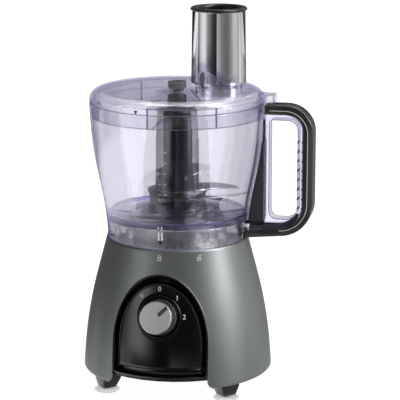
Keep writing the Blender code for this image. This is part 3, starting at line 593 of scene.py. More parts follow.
def make_floor():
    """Pale floor. Reflections look through it, at the backdrop's lower bands."""
    paper, tree, sheet, output = new_material("paper")
    fill(tree, sheet, {
        "Base Color": (0.2, 0.2, 0.2, 1),
        "Roughness": 0.9,
        "Specular IOR Level": 0.1,
        "Emission Color": (1, 1, 1, 1),
        "Emission Strength": 0.97,
    })
    reflected = at_least_one(tree, node(tree, "LightPath").outputs["Glossy Depth"])
    through = node(tree, "BsdfTransparent").outputs["BSDF"]
    mix = node(tree, "MixShader", {"Fac": reflected, 1: sheet.outputs["BSDF"], 2: through})
    fill(tree, output, {"Surface": mix.outputs["Shader"]})
    bm = bmesh.new()
    bmesh.ops.create_grid(bm, x_segments=8, y_segments=8, size=9)
    mesh = as_mesh("floor", bm)
    mesh.materials.append(paper)
    add_object("floor", mesh)


def aimed(obj, place, target):
    """Stands a lamp or a camera at a place and turns it towards a target."""
    obj.location = place
    obj.rotation_euler = (target - place).to_track_quat("-Z", "Y").to_euler()


def make_lamps():
    for name, turn, height, distance, size, power in LAMPS:
        data = bpy.data.lights.new(name, "AREA")
        data.shape = "RECTANGLE"
        data.size, data.size_y = size
        data.energy = power
        angle = VIEW_AZIMUTH + math.radians(turn)
        place = Vector((distance * math.sin(angle), -distance * math.cos(angle), height))
        aimed(add_object(name, data), place, Vector((0, 0, 0.2)))


# What reflections see, in four bands of height: (degrees from the camera towards its right,
# brightness). Steeply below the horizon:
DEEP_BANDS = (
    (-180, 1.0), (-150, 1.2), (-120, 1.4), (-84, 1.5), (-60, 1.4), (-46, 1.1), (-34, 0.4), (-20, 0.2),
    (-8, 0.06), (12, 0.03), (22, 0.35), (60, 0.4), (90, 0.4), (120, 0.5), (150, 0.9),
)
# A little below it
LOW_BANDS = (
    (-180, 0.15), (-150, 0.1), (-132, 0.1), (-128, 0.95), (-121, 0.95), (-117, 0.1), (-110, 0.06),
    (-98, 0.6), (-80, 0.95), (-66, 0.7), (-58, 0.12), (-48, 0.05), (-34, 0.03), (-20, 0.01), (-12, 0.01),
    (-9, 0.66), (-3, 0.5), (14, 0.24), (34, 0.14), (48, 0.18), (70, 0.45), (98, 0.55),
    (104, 0.3), (112, 0.9), (124, 0.9), (132, 0.4), (160, 0.2),
)
# Just above it
HIGH_BANDS = (
    (-180, 0.06), (-150, 0.08), (-120, 0.03), (-100, 0.05), (-84, 0.1), (-72, 0.7), (-62, 1.7),
    (-50, 1.9), (-42, 1.1), (-33, 0.2), (-26, 0.015), (20, 0.015), (40, 0.12), (58, 0.5), (66, 2.8),
    (76, 2.8), (86, 0.9), (110, 0.7), (145, 0.3), (160, 0.06),
)
# High above it
TOP_BANDS = (
    (-180, 0.3), (-150, 0.3), (-115, 0.06), (-60, 0.14), (-30, 0.35), (0, 0.22), (30, 0.25), (54, 0.8),
    (62, 9.0), (74, 9.0), (84, 1.0), (110, 0.6), (150, 0.5),
)
# Light that falls on matt surfaces from all round
DOME = (
    (-180, 0.45), (-120, 0.12), (-80, 0.1), (-30, 0.2), (10, 0.4), (50, 1.0), (90, 1.2), (130, 1.0),
)
# Name, degrees from the camera towards its right, height, distance, (width, height) and watts
LAMPS = (
    ("key", 70, 1.2, 1.8, (0.5, 1.1), 16),
    ("top", 170, 2.2, 0.7, (1.6, 1.2), 16),
)


def make_camera():
    data = bpy.data.cameras.new("camera")
    data.lens = VIEW_LENS
    data.sensor_width = 36
    camera = add_object("camera", data)
    back = Vector((math.sin(VIEW_AZIMUTH), -math.cos(VIEW_AZIMUTH), 0)) * math.cos(VIEW_PITCH)
    back.z = math.sin(VIEW_PITCH)
    axis = Vector((SPINDLE_X, 0, VIEW_HEIGHT))
    right = Vector((math.cos(VIEW_AZIMUTH), math.sin(VIEW_AZIMUTH), 0))
    aimed(camera, axis + back * VIEW_DISTANCE, axis + right * VIEW_SIDESTEP)
    scene = bpy.context.scene
    scene.camera = camera
    scene.view_settings.view_transform = "Standard"
    scene.cycles.max_bounces = BOUNCES
    scene.cycles.transmission_bounces = BOUNCES
    scene.cycles.transparent_max_bounces = BOUNCES


# ---- motor base


SIDE_STEPS = 8
ARCH_STEPS = 48
FOOT_STEPS = 16


def arch_loop(half, apex, foot):
    """Closed arch in the XZ plane with the same number of points whatever its size."""
    spring = 60
    points = [(half, foot + (spring - foot) * i / SIDE_STEPS) for i in range(SIDE_STEPS)]
    for i in range(ARCH_STEPS):
        angle = math.pi * i / ARCH_STEPS
        points.append((half * math.cos(angle), spring + (apex - spring) * math.sin(angle)))
    points += [(-half, spring + (foot - spring) * i / SIDE_STEPS) for i in range(SIDE_STEPS)]
    return points + [(half * (2 * i / FOOT_STEPS - 1), foot) for i in range(FOOT_STEPS)]


def arch_opening():
    """The arch cut out of the shell, its feet flared by a rounded corner."""
    flare = 8
    foot = SHELL[0].z
    right = arc((ARCH_HALF + flare, foot + flare), flare, 270, 180, 6)
    left = arc((-ARCH_HALF - flare, foot + flare), flare, 0, -90, 6)
    top = arch_loop(ARCH_HALF, ARCH_APEX, foot)[SIDE_STEPS:SIDE_STEPS + ARCH_STEPS + 1]
    below = foot - 6
    return [(ARCH_HALF + flare, below)] + right + top + left + [(-ARCH_HALF - flare, below)]


def make_shell():
    line = thinned(BELL_LINE, SHELL[0].z, SEAT_Z, 40)
    outer = line[1:-1]
    inner = [(r - WALL, z) for r, z in outer][::-1]
    lip = [(SEAT_R, SEAT_Z, 2.4), (SEAT_R - 4, SEAT_Z, 0.4), (SEAT_R - 4, SEAT_Z - 2.6)]
    foot_r, foot_z = line[0]
    foot = [(foot_r - WALL, foot_z, 0.8), (foot_r, foot_z, 1.0)]
    profile = rounded(foot + outer + lip + inner)
    cuts = [(CUT, slab(arch_opening(), -130, -40))]
    for angle in (-36, -30, -24, 24, 30, 36):
        slot = rounded(oblong((-1.5, 58), (1.5, 88), 1.4))
        cuts.append((CUT, moved(slab(slot, 78, 110), turn=angle)))
    cuts.append((CUT, moved(cylinder(7.3, -20, 20), (0, 95, INLET_Z), 0, 90)))
    bm = carved(lathe(profile, 180), *cuts)
    piece("shell", bm, "charcoal", "base", ["base_shell"], sharp=30)
    edge = tube(on_front(arch_opening()[1:-1], 0.45), 0.55)
    piece("shell_arch_edge", edge, "charcoal", "base")


def make_turret():
    """Satin metal deck and turret that show through the bowl's skirt."""
    profile = [
        (SEAT_R - 4.2, SEAT_Z - 2, 0.2), (SEAT_R - 4.2, SEAT_Z + 0.15, 0.3),
        (TURRET_R - 0.9, SEAT_Z + 0.15, 1.2), (TURRET_R - 0.7, SEAT_Z + 2),
        (TURRET_R + 0.4, TURRET_Z, 3), (13, TURRET_Z, 0.6), (13, TURRET_Z - 2.5),
        (TURRET_R - 4, TURRET_Z - 2.5), (TURRET_R - 4, SEAT_Z - 2),
    ]
    piece("turret", turned(profile, 160), "turret", "base")


def make_panel():
    """Gloss black arch: flange, deep channel and control panel with a round hole for the dial."""
    half, apex, foot = ARCH_HALF, ARCH_APEX, MOULDING[0].z
    steps = (
        # how much narrower, how much lower the apex, how much higher the foot, depth
        (0.2, 0.2, 0.0, 2.4),
        (0.5, 0.5, 0.2, 1.3),
        (0.9, 0.9, 0.5, 1.0),
        (1.9, 1.9, 1.4, 1.0),
        (2.3, 2.3, 1.8, 1.6),
        (2.5, 2.5, 2.0, CHANNEL_DEPTH - 0.6),
        (3.0, 3.0, 2.5, CHANNEL_DEPTH),
        (6.0, 9.3, 7.3, CHANNEL_DEPTH),
        (6.5, 9.9, 7.8, CHANNEL_DEPTH - 0.6),
        (6.8, 10.3, 8.1, PANEL_DEPTH + 0.9),
        (7.2, 10.8, 8.5, PANEL_DEPTH + 0.3),
        (8.0, 11.6, 9.3, PANEL_DEPTH),
    )
    loops = []
    for narrow, drop, lift, depth in steps:
        loops.append(on_front(arch_loop(half - narrow, apex - drop, foot + lift), depth))
    face = [Vector(point) for point in arch_loop(half - 8, apex - 11.6, foot + 9.3)]
    centre = Vector((0, DIAL_CENTRE.z))
    hole, well = 23.6, 22.8
    spokes = [(point - centre).normalized() for point in face]
    for i in range(1, 13):
        ring = [point.lerp(centre + spoke * hole, i / 12) for point, spoke in zip(face, spokes)]
        loops.append(on_front(ring, PANEL_DEPTH))
    for radius, depth in ((23.1, 0.2), (well, 0.8)):
        ring = [centre + spoke * radius for spoke in spokes]
        loops.append(on_front(ring, PANEL_DEPTH + depth))
    ring = [spoke * well for spoke in spokes]
    bottom = DIAL_AXIS * 7
    loops.append([DIAL_CENTRE + Vector((x, 0, 0)) + DIAL_UP * z - bottom for x, z in ring])
    bm = loft(loops, cap=False)
    piece("control_panel", bm, "gloss_black", "base", ["front_moulding"], sharp=50)
    rim = on_front(arch_loop(half - 7.0, apex - 10.5, foot + 8.3), PANEL_DEPTH + 0.15)
    piece("panel_edge", tube(rim, 0.45, closed=True), "gloss_black", "base")


def dial_place():
    """Matrix that stands a mesh turned about Z on the dial's axis, its X towards the right."""
    across = Vector((1, 0, 0))
    rows = Matrix((across, DIAL_UP, DIAL_AXIS)).transposed().to_4x4()
    return Matrix.Translation(DIAL_CENTRE * MM) @ rows


def make_dial():
    place = dial_place()
    collar = [
        (22.5, -6.5, 0.2), (22.5, -1.8, 0.9), (20.6, -1.8, 0.6), (19.6, -3.6, 0.4), (3.6, -3.6),
        (3.6, -6.5),
    ]
    piece("dial_collar_ring", turned(collar), "gloss_black", "base", ["dial_collar"], place)
    body = [
        (18.2, -1.2, 0.4), (18.2, 0.4, 0.6), (17.7, 1.2, 0.6), (16.8, 14.8, 0.3),
        (15.4, 15.2, 0.2), (15.4, 14.0), (14.8, 14.0), (16.2, -1.2),
    ]
    piece("dial_body", turned(body, 192), "dial_body", "dial", ["dial_knob"], place)
    rim = [
        (16.3, 14.6, 0.2), (16.65, 15.2, 0.3), (16.5, 15.8, 0.25),
        (16.0, 16.0, 0.25), (15.6, 15.9), (15.6, 14.6),
    ]
    piece("dial_rim", turned(rim), "dial_rim", "dial", (), place)
    face = [(0, 15.2), (15.6, 15.2), (15.6, 15.82), (14.9, 15.9), (0, 15.95)]
    piece("dial_face", lathe(face), "dial_silver", "dial", (), place)
    bar = rounded(oblong((3.7, -2.0), (16.1, 2.0), 0.3))
    along = place @ Matrix.Rotation(POINTER_TURN, 4, "Z")
    pointer = softened(slab(bar, 15.6, 16.12, "XY"), 0.12)
    piece("dial_pointer_bar", pointer, "pointer", "dial", ["dial_pointer"], along)


def on_panel(centre_x, centre_z):
    def surface(u, v):
        return on_bell(centre_x + u, centre_z + v, PANEL_DEPTH - 0.12)

    return surface


def make_labels():
    one = ribbon([(0.3, -2.4), (0.3, 2.4)], 0.7) + ribbon([(-0.9, 1.6), (0.3, 2.2)], 0.55)
    marks = (
        # name, distance from the dial's axis, degrees clockwise from the top, shapes, look
        ("label_0", 27.7, -1.6, lettering("0", 6.8), "print"),
        ("label_1", 25.9, 42.1, one, "print"),
        ("label_2", 25.4, 89.8, lettering("2", 6.8), "print"),
        ("label_pulse", 27.6, -45, [arc((0, 0), 1.95, 0, 345, 23)], "dim_print"),
    )
    for name, reach, turn, shapes, colour in marks:
        x = reach * math.sin(math.radians(turn))
        z = DIAL_CENTRE.z + reach * math.cos(math.radians(turn))
        piece(name, printed(shapes, on_panel(x, z)), colour, "base")


def on_round(radius_of, angle_deg, centre_z, proud):
    """Surface for marks on a round wall: radius_of gives its radius at a height."""

    def surface(u, v):
        z = centre_z + v
        radius = radius_of(z)
        return at_angle(radius + proud, angle_deg + math.degrees(u / radius), z)

    return surface


def make_padlocks():
    """Small generic padlocks: shut under the bowl's lock mark, open beside it."""
    for name, angle, is_open in (("mark_locked", -1.4, False), ("mark_unlocked", 29.5, True)):
        body = ribbon([(-0.35, -1), (0.35, -1)], 0.8)
        for z in (-2.3, 0.4):
            body += ribbon([(-1.75, z), (1.75, z)], 0.5)
        for x in (-1.75, 1.75):
            body += ribbon([(x, -2.5), (x, 0.6)], 0.5)
        shift = 1.1 if is_open else 0
        shackle = [(shift - 1.15, 0.6), (shift - 1.15, 1.6)]
        shackle += arc((shift, 1.7), 1.15, 180, 0, 8)
        shackle += [(shift + 1.15, 1.3 if is_open else 0.6)]
        surface = on_round(lambda z: radius_at(BELL_LINE, z), angle, 150.8, 0.1)
        piece(name, printed(body + ribbon(shackle, 0.5), surface), "print", "base")


def make_feet():
    feet = (("front_left", -49), ("front_right", 49), ("rear_left", -131), ("rear_right", 131))
    for name, angle in feet:
        loops = []
        for half, near, far, z in (
            (7.5, 77, 91.5, 3.4),
            (8.3, 76.5, 92.3, 4.6),
            (11, 73.5, 93.5, 12),
            (15, 69.5, 93, PLATE[0].z - 0.3),
        ):
            outline = rounded(oblong((-half, -far), (half, -near), 2.5))
            loops.append([(x, y, z) for x, y in outline])
        block_shape = moved(softened(loft(loops), 0.5, 2, 50), turn=angle)
        under = at_angle(CUP_REACH, angle, 0)
        bm = carved(block_shape, (CUT, moved(cylinder(3.8, 0, 9.3, 32), under)))
        piece("foot_block_" + name, bm, "black", "base", ["foot_" + name])
        cup = [
            (0, 1.4), (8, 1.2, 1), (10.5, 0.0, 0.4), (13.0, 0.0, 0.2), (13.4, 0.7, 0.2),
            (9, 2.8, 2), (3.4, 3.2, 0.5), (3.4, 9), (0, 9),
        ]
        place = Matrix.Translation(under * MM)
        piece("cup_" + name, turned(cup, 64), "pale_rubber", "base", ["suction_cup_" + name], place)


def make_cord_inlet():
    profile = [
        (9, 90, 0.5), (9, 93, 0.5), (7, 93), (7, 98.8), (9, 98.8, 0.6),
        (8.2, 102.5, 1.2), (4.2, 102.5, 1.2), (4.2, 90, 0.5),
    ]
    bm = moved(turned(profile, 64), (0, 0, INLET_Z), 0, -90)
    piece("cord_grommet", bm, "black", "base", ["cord_inlet"])


# ---- bowl


def make_bowl():
    outer = thinned(BOWL_LINE, 165, BOWL_RIM, 44)[:-1]
    inner = thinned(BOWL_LINE, FLOOR_Z[1] + 2.5, BOWL_RIM - 1, 40, WALL)[::-1]
    floor_r = inner[-1][0]
    profile = [(SKIRT_R - WALL, BOWL_FOOT, 0.6), (SKIRT_R, BOWL_FOOT, 0.6)]
    profile += outer
    profile += [(BOWL_R, BOWL_RIM, 0.9), (BOWL_R - WALL, BOWL_RIM, 0.9)]
    profile += inner
    profile += [
        (floor_r - 2, FLOOR_Z[1], 2.0), (16.5, FLOOR_Z[1], 2.0), (14, FLOOR_Z[1] + 3, 2.0),
        (14, 214, 0.8), (11.5, 214, 0.8), (11.5, FLOOR_Z[0], 0.8),
        (SKIRT_R - WALL, FLOOR_Z[0], 1.5),
    ]
    notch = block((66, -11.4, 150), (77.5, 11.4, 177.5))
    bm = carved(turned(profile, 160), (CUT, notch))
    piece("bowl_shell", bm, "clear", "bowl", ["bowl"], sharp=40)
    # The rings below are dark-tinted clear plastic at the floor's outer edge, at a step on the floor and
    # on the rim: painted shade for the dark lines that refraction draws there.
    floor_z = FLOOR_Z[1]
    edge = [
        (floor_r - 3.3, floor_z + 0.1, 0.3), (floor_r - 0.2, floor_z + 1.0, 0.3),
        (floor_r - 0.1, floor_z + 3.6, 0.5), (floor_r - 1.6, floor_z + 3.2, 0.6),
        (floor_r - 3.3, floor_z + 1.4, 0.3),
    ]
    step = [
        (46, floor_z + 0.05), (47.2, floor_z + 0.05), (47, floor_z + 1.2, 0.3),
        (46.2, floor_z + 1.2, 0.3),
    ]
    near, far = BOWL_R - WALL + 0.4, BOWL_R - 0.3
    rim = oblong((near, BOWL_RIM + 0.02), (far, BOWL_RIM + 0.25), 0.1)
    edges = (("floor_edge", edge, 160), ("floor_step", step, 128), ("rim_edge", rim, 160))
    for name, profile, segments in edges:
        piece("bowl_" + name, turned(profile, segments), "clear_edge_shade", "bowl")


def make_bowl_details():
    """Bayonet lugs inside the skirt, printed arrow, and graduations."""
    lugs = []
    for turn in (38, 56, 128, 146, 218, 236, 308, 326):
        lug = softened(block((-3.2, -68.6, 165.5), (3.2, -64.2, 175)), 0.6)
        lugs.append(moved(lug, turn=turn))
    piece("bowl_lugs", joined(lugs), "clear", "bowl")
    skirt = on_round(lambda z: radius_at(BOWL_LINE, z) if z > 165 else SKIRT_R, -0.9, 0, 0.12)
    bars = []
    for x in (-1.7, 1.7):
        bars += ribbon([(x, 168.5), (x, 177.3)], 1.8) + ribbon([(x, 180.6), (x, 183.2)], 1.2)
    piece("bowl_mark_bars", printed(bars, skirt), "print", "bowl")
    arrow = [[(-2.9, 168.0), (0, 163.4), (2.9, 168.0)]]
    piece("bowl_mark_arrow", printed(arrow, skirt), "black", "bowl")
    scale = []
    for i, text in enumerate(("300", "600", "900", "1200", "1500")):
        z = 218 + 11.2 * i
        scale += ribbon([(-4.6, z), (-1.4, z)], 0.55)
        scale += [[(u + 2.4, v + z) for u, v in shape] for shape in lettering(text, 2.6)]
        scale += ribbon([(-4.6, z - 5.7), (-3.2, z - 5.7)], 0.45)
    wall = on_round(lambda z: radius_at(BOWL_LINE, z), 2.4, 0, 0.12)
    piece("bowl_scale", printed(scale, wall), "dim_print", "bowl")


def make_bush():
    profile = oblong((8.1, 205), (11.2, 213), 0.3)
    piece("chimney_bush", turned(profile, 64), "rubber", "bowl_bush", ["bowl_bush"])


# ---- handle


def finger_gap(grow=0.0):
    """Outline of the handle's opening, from its low near corner round to its high near corner."""
    near, far, low, high = FINGER_GAP
    points = arc((near + 8, low + 8), 8 + grow, 180, 270, 8)
    points += arc((far - 12.5, low + 12.5), 12.5 + grow, 270, 360, 10)
    points += arc((far - 10.5, high - 10.5), 10.5 + grow, 0, 90, 10)
    return points + arc((near + 3, high - 3), 3 + grow, 90, 180, 4)


def loop_back(inset=0.0):
    """Far side of the clear loop, from the bottom to the top."""
    reach, top = HANDLE[1].x - inset, HANDLE[1].z
    low_bend = arc(LOOP_BEND, reach - LOOP_BEND[0], -84, 0, 14)
    return low_bend + arc((117.5, top - 15.6), reach - 117.5, 0, 90, 14)


def make_handle_frame():
    top = HANDLE[1].z
    half = HANDLE[1].y
    outer = [(76, HANDLE[0].z), (107, 170.8), *loop_back()]
    outer += [(91.4, top), (91.4, 262.4), (93.2, 262.4), (93.2, 177.2), (76, 177.2)]
    groove = oblong((95.6, 184), (96.6, 280))
    bm = carved(
        slab(outer, -half, half),
        (CUT, slab(finger_gap(), -30, 30)),
        (CUT, block((60, -2.3, 160), (93.5, 2.3, 300))),
        (CUT, slab(groove, -half - 1, -half + 0.8)),
    )
    bm = softened(bm, 0.7, 2, 55)
    piece("handle_loop", bm, "lid_clear", "bowl", ["handle_frame"], sharp=30)


def at_depth(line, y):
    return [Vector((x, y, z)) for x, z in line]


def make_handle_edge_shade():
    """Painted shade: dark-tinted lines along the clear loop's corners, where the clear plastic shows
    dark refraction lines.
    """
    lines = []
    for y in (-HANDLE[1].y, HANDLE[1].y):
        lines.append(tube(at_depth(finger_gap(0.4), y), 0.32, 6, True))
        lines.append(tube(at_depth(loop_back(0.5), y), 0.3, 6))
        for x, radius in ((94.6, 0.3), (97.6, 0.55)):
            lines.append(tube(at_depth([(x, 183), (x, 283)], y), radius, 6))
    piece("handle_edge_shade", joined(lines), "clear_edge_shade", "bowl")


def make_handle_bumps():
    """Small ridges across the finger gap's far side. The ridges are real; their dark opaque colour is
    painted shade for the dark dots the clear ridges show.
    """
    bumps = []
    for i in range(8):
        for x, radius in ((FINGER_GAP[1] + 0.1, 0.85), (HANDLE[1].x - 0.9, 0.7)):
            bar = turned([(0, -6), (radius, -6, 0.3), (radius, 6, 0.3), (0, 6)], 16)
            bumps.append(moved(bar, (x, 0, 192.5 + 9.9 * i), 0, 90))
    piece("handle_bumps", joined(bumps), "wedge", "bowl")


def make_grip():
    reach, top = GRIP[1].x, GRIP[1].z

    def back(start, inset=0.0):
        """The grip's far side, from its low bend to its top."""
        low_bend = arc((109.7, 198), reach - 109.7 - inset, start, 0, 20)
        return low_bend + arc((115.2, top - 29), reach - 115.2 - inset, 0, 90, 20)

    loop_far, loop_top = HANDLE[1].x + 0.3, HANDLE[1].z + 0.3
    near = GRIP[0].x
    outside = [
        (near, GRIP[0].z, 1),
        (109, 163.4),
        *back(-88),
        (93.5, top, 1),
    ]
    inside = [
        (93.5, loop_top, 0.5),
        *arc((117.5, loop_top - 15.9), loop_far - 117.5, 90, 0, 16),
        *arc(LOOP_BEND, loop_far - LOOP_BEND[0], 0, -84, 16),
        (76, 166.8),
        (near, 165.9, 0.5),
    ]
    outline = rounded(outside + inside)
    half = GRIP[1].y
    bm = softened(slab(outline, -half, half), 1.9, 4, 60)
    piece("grip_band", bm, "grip", "bowl", ["handle_grip"], sharp=50)
    # Painted highlight: light lines along both side faces of the grip, in the print colour.
    inset = 5.6
    highlight_path = [(109.7, 169.4), *back(-84, inset), (99, top - inset)]
    for name, y in (("front", -half - 0.02), ("rear", half + 0.02)):
        line = tube(at_depth(highlight_path, y), 0.3, 6)
        piece("grip_highlight_line_" + name, line, "print", "bowl")


def make_arm_shade():
    """Dark plates inside the clear arm, either side of the rod: painted shade along the arm's lower
    bend.
    """
    outline = [(78, 168.3), *arc(LOOP_BEND, 25.4, -90, -30, 12)]
    outline += [*arc(LOOP_BEND, 22.4, -30, -90, 12), (78, 173.4)]
    half = HANDLE[1].y - 1.2
    plates = [slab(outline, low, high) for low, high in ((-half, -3), (3, half))]
    piece("arm_shade_plates", joined(plates), "wedge", "bowl")


def make_wedge():
    low, high = CORE[0].z, CORE[1].z
    wall = [(x + 2.2, z) for x, z in thinned(BOWL_LINE, low, high, 16)]
    outline = [(92.9, low), (92.9, high)] + wall[::-1]
    slot = block((91, -2.3, 160), (94, 2.3, 300))
    half = CORE[1].y
    bm = carved(slab(outline, -half, half), (CUT, slot))
    piece("handle_wedge", softened(bm, 0.4, 2, 55), "wedge", "bowl", ["handle_core"])


def make_fins():
    """Clear ribs on the bowl's wall either side of the handle."""
    inner, outer = 8.6, 20
    shares = (0, 0.33, 0.67, 1)
    section = [(0.15, share) for share in shares] + [(2.4, share) for share in shares[::-1]]
    for name, sides in (("front", (-outer, -inner)), ("rear", (inner, outer))):
        loops = []
        for i in range(31):
            z = 179 + (BOWL_RIM - 1 - 179) * i / 30
            radius = radius_at(BOWL_LINE, z)
            narrow = 0.86 + 0.14 * i / 30 if name == "front" else 1
            loop = []
            for rise, along in section:
                y = (sides[0] + (sides[1] - sides[0]) * along) * narrow
                y = math.copysign(max(abs(y), inner), y)
                reach = radius + rise
                loop.append((math.sqrt(reach * reach - y * y), y, z))
            loops.append(loop)
        piece("bowl_fin_" + name, softened(loft(loops), 0.5, 2, 50), "clear", "bowl")


def make_rod():
    """Interlock rod: a dark L down the handle with a clear tip."""
    outline = [
        (63, 162.6), (67, 162.6), (67, 172.6), (93.1, 174),
        (93.1, 284), (91.4, 284), (91.4, 176.8), (63, 176.8),
    ]
    bm = softened(slab(outline, -2, 2), 0.3, 1, 60)
    piece("rod_body", bm, "black", "interlock_rod", ["interlock_rod"])
    tip = softened(block((91.5, -1.8, 284.1), (93.1, 1.8, 298.4)), 0.3)
    piece("rod_tip", tip, "clear", "interlock_rod")


# ---- cutting tool


def make_stem():
    top = STEM[1].z
    profile = [
        (TOOL_BORE, 209.1, 0.3), (23, 209.1, 0.4), (22.8, 214), (21.4, 285.6, 0.8), (20, 286.3, 0.3),
        (0, 286.3), (0, 217), (TOOL_BORE, 217),
    ]
    bm = carved(turned(profile, 120), (CUT, cylinder(8, 200, 235, 6)))
    piece("stem", bm, "stem_black", "tool", ["tool_stem"], sharp=30)
    neck = [
        (0, 286.5), (20, 286.5, 0.3), (20, 287.8, 0.3), (21, 288.4, 0.5), (21, 291, 0.9),
        (18.3, 295, 0.8), (10, 295, 0.8), (10, top - 0.6, 1.8), (0, top),
    ]
    piece("stem_neck", turned(neck, 96), "black", "tool")
    fin = [(-0.5, 209.5), (0.5, 209.5), (0.4, 262), (-0.4, 262)]
    fins = [moved(slab(fin, -24.6, -21.6), turn=turn) for turn in (78, 258)]
    piece("stem_fins", joined(fins), "grey", "tool")


def make_hub():
    low, high = HUB[0].z, HUB[1].z

    def notched(angle, z):
        if z < high - 5:
            return 1
        return 1.03 - 0.03 * round(0.5 + 0.5 * math.cos(9 * angle))

    profile = rounded([
        (TOOL_BORE, low, 0.3),
        (30.5, low, 0.6),
        (30.1, low + 4, 0.5),
        (29.6, low + 5, 0.5),
        (29.2, high - 5.5, 0.6),
        (30.8, high - 1.2, 0.5),
        (30.4, high, 0.4),
        (25.5, high, 0.4),
        (25.2, high - 1, 0.3),
        (TOOL_BORE, high - 1),
    ])
    piece("hub", lathe(profile, 144, notched), "stem_black", "tool", ["blade_hub"])


def blade_outline(reach):
    ring = 25
    start, end = math.radians(52), math.radians(-38)
    root_a = (ring * math.cos(start), ring * math.sin(start))
    root_b = (ring * math.cos(end), ring * math.sin(end))
    out = bezier(root_a, (40, 27), (58, 19), (reach, 0), 24)
    back = bezier((reach, 0), (52, 2), (36, -6), root_b, 20)
    return out + back[1:] + arc((0, 0), ring, -38, -308, 40)[1:-1]


def make_blades():
    for name, turn in (("blade_upper", 12), ("blade_lower", 200)):
        low, high = span(name)
        reach = 65 if name == "blade_upper" else 66
        outline = blade_outline(reach)
        edge = []
        for x, y in outline:
            distance = math.hypot(x, y)
            pull = 1 - 1.6 * max(0, min(1, (distance - 26) / 6)) / max(distance, 1)
            edge.append((x * pull, y * pull))
        levels = ((outline, low.z), (outline, low.z + 0.35), (edge, high.z))
        loops = [[(x, y, z) for x, y in points] for points, z in levels]
        bm = carved(loft(loops), (CUT, cylinder(TOOL_BORE, low.z - 1, low.z + 4, 64)))
        piece(name + "_ground", moved(bm, turn=turn), "steel", "tool", [name], sharp=25)


# ---- lid and pusher


def make_lid():
    low = LID[0].z
    skirt, brim, wall = LID_SKIRT_R, BOWL_R, 2.5
    shoulder = (79.5, LID_TOP - 11.5)
    profile = [
        (skirt - wall, low, 0.6), (skirt - 0.6, low, 0.6), (skirt, low + 4),
        (skirt, 299.9, 0.3), (brim, 299.9, 0.8),
    ]
    profile += arc(shoulder, 11.5, 6, 90, 16)
    profile += [(7.4, LID_TOP), (7.4, LID_TOP - wall)]
    profile += arc(shoulder, 11.5 - wall, 90, 30, 12)
    profile += [(skirt - wall, 304)]
    floor = LID_TOP - 1
    foot = TUBE_R + 1.2
    top = LID_TOP + 3
    root = [(0, floor), (foot + 2.4, floor), (foot, LID_TOP + 2.4, 2), (foot, top), (0, top)]
    tab = softened(block((86, -9, 302.4), (103.3, 9, 311.2)), 0.9, 3)
    pocket = block((93, -7.2, 300), (101.4, 7.2, 309.4))
    cam = block((91.4, -3, 298.8), (93.1, 3, 310.2))
    bm = carved(
        turned(profile, 160),
        (ADD, moved(turned(root, 96), (TUBE_X, TUBE_Y, 0))),
        (ADD, tab),
        (CUT, pocket),
        (ADD, cam),
        (CUT, moved(cylinder(TUBE_BORE, 300, 400, 96), (TUBE_X, TUBE_Y, 0))),
    )
    piece("lid_shell", bm, "lid_clear", "lid", ["lid"], sharp=35)
    low, high = LID_TOP + 3.02, LID[1].z
    profile = [(TUBE_BORE, low), (foot, low), (TUBE_R, high, 0.6), (TUBE_BORE + 0.1, high, 0.6)]
    piece("feed_tube", turned(profile), "tube_clear", "lid", (), TUBE_PLACE)


def make_lid_details():
    """Ribs and bayonet ramps on the lid's skirt, its lower edge, and the closing arrow. Ribs, ramps and
    edge ring are dark-tinted clear plastic: painted shade for the dark lines that refraction draws
    there.
    """
    near, far = -LID_SKIRT_R - 0.1, -LID_SKIRT_R - 1
    rib = [(-0.9, 306), (0.9, 306), (0.6, 286.2), (-0.6, 286.2)]
    bayonet = [(-8, 287), (-7, 286.6), (2, 296.3), (1, 297)]
    turns = (-7, 39, 83, 129, 173, 219, 263, 309)
    ribs = [moved(slab(rib, far, near), turn=turn) for turn in turns]
    for angle in (2, 92, 182, 272):
        ribs.append(moved(slab(bayonet, far, near), turn=angle))
        section = oblong((87.1, 294), (87.9, 295))
        loops = [[at_angle(r, angle + along, z) for r, z in section] for along in range(10, 21, 2)]
        ribs.append(loft(loops))
    piece("lid_ribs", joined(ribs), "clear_edge_shade", "lid")
    low = LID[0].z
    edge = oblong((84.6, low - 0.02), (86.9, low - 0.3), 0.1)
    piece("lid_skirt_edge", turned(edge, 160), "clear_edge_shade", "lid")
    brim = on_round(lambda z: BOWL_R, -14.2, 0, 0.15)
    arrow = [[(-2.3, 304.0), (0, 300.2), (2.3, 304.0)]]
    piece("lid_mark_arrow", printed(arrow, brim), "black", "lid")


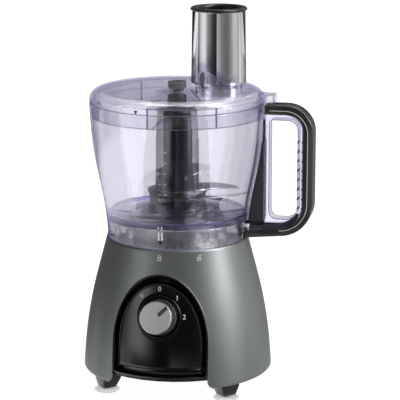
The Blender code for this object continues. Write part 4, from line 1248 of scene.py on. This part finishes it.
def make_lid_bush():
    teeth = 44
    low, high = LID_TOP + 0.3, BUSH[1].z

    def knurled(angle, z):
        if low + 0.8 < z < high - 0.9:
            return 1 - 0.035 * (0.5 + 0.5 * math.cos(teeth * angle))
        return 0.985

    cap = rounded([
        (0, 309.5), (7.1, 309.5, 0.4), (7.1, low), (9.4, low, 0.5), (9.4, low + 1), (9.4, high - 1),
        (9.4, high, 0.7), (6.2, high, 0.5), (5.6, high - 3, 0.3), (0, high - 3),
    ])
    piece("lid_knob", lathe(cap, 220, knurled), "light_grey", "lid_bush", ["lid_bush"])
    piece("lid_knob_well", cylinder(5.5, high - 2.95, high - 0.5), "rubber", "lid_bush")
    pins = [moved(cylinder(0.8, 307.6, 309.6, 12), (x, -1.5, 0)) for x in (-1.9, 1.9)]
    piece("lid_pins", joined(pins), "print", "lid_bush")


def make_pusher():
    low, high = SLEEVE[0].z, SLEEVE[1].z
    sleeve = [
        (0, low), (24.5, low, 1.0), (24.5, high, 0.4),
        (23.5, high, 0.3), (23.5, low + 1.3, 0.6), (0, low + 1.3),
    ]
    piece("pusher_tube", turned(sleeve, 160), "chrome", "pusher", ["pusher_sleeve"], TUBE_PLACE)
    low, top = CUP[0].z, CUP[1].z
    reach = CUP[1].x - TUBE_X
    cup = [
        (0, low), (22.6, low, 0.6), (23.1, 320), (23.1, top - 3.2), (reach - 0.4, top - 3.2, 0.8),
        (reach, top - 1.6, 0.8), (reach - 1.4, top, 1.0), (24.6, top, 1.2), (22.8, top - 2.2, 0.8),
        (21.4, low + 2.1, 3), (0, low + 2.1),
    ]
    piece("pusher_liner", turned(cup, 160), "black", "pusher", ["pusher_cup"], TUBE_PLACE)


# ---- kept CAD nodes


def dress_nodes():
    """Gives every CAD node that still shows its material."""
    kept = {
        "black": ("base_plate", "motor_brush_left", "motor_brush_right", "motor_fan", "interlock_pin"),
        "rubber": ("drive_belt", "turret_seal"),
        "copper": ("motor_field",),
        "frame": ("lower_frame", "upper_frame", "drive_pulley", "speed_switch", "interlock_switch"),
    }
    looks = {name: LOOKS[key] for key, names in kept.items() for name in names}
    for name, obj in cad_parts.items():
        if not obj.hide_render:
            obj.data.materials.clear()
            obj.data.materials.append(looks.get(name, LOOKS["steel"]))


MAKERS = (
    make_camera, make_backdrop, make_floor, make_lamps,
    make_shell, make_turret, make_panel, make_dial, make_labels, make_padlocks, make_feet,
    make_cord_inlet, make_bowl, make_bowl_details, make_bush,
    make_handle_frame, make_handle_edge_shade, make_handle_bumps, make_grip, make_arm_shade, make_wedge,
    make_fins, make_rod, make_stem, make_hub, make_blades,
    make_lid, make_lid_details, make_lid_bush, make_pusher, dress_nodes,
)
for make in MAKERS:
    make()
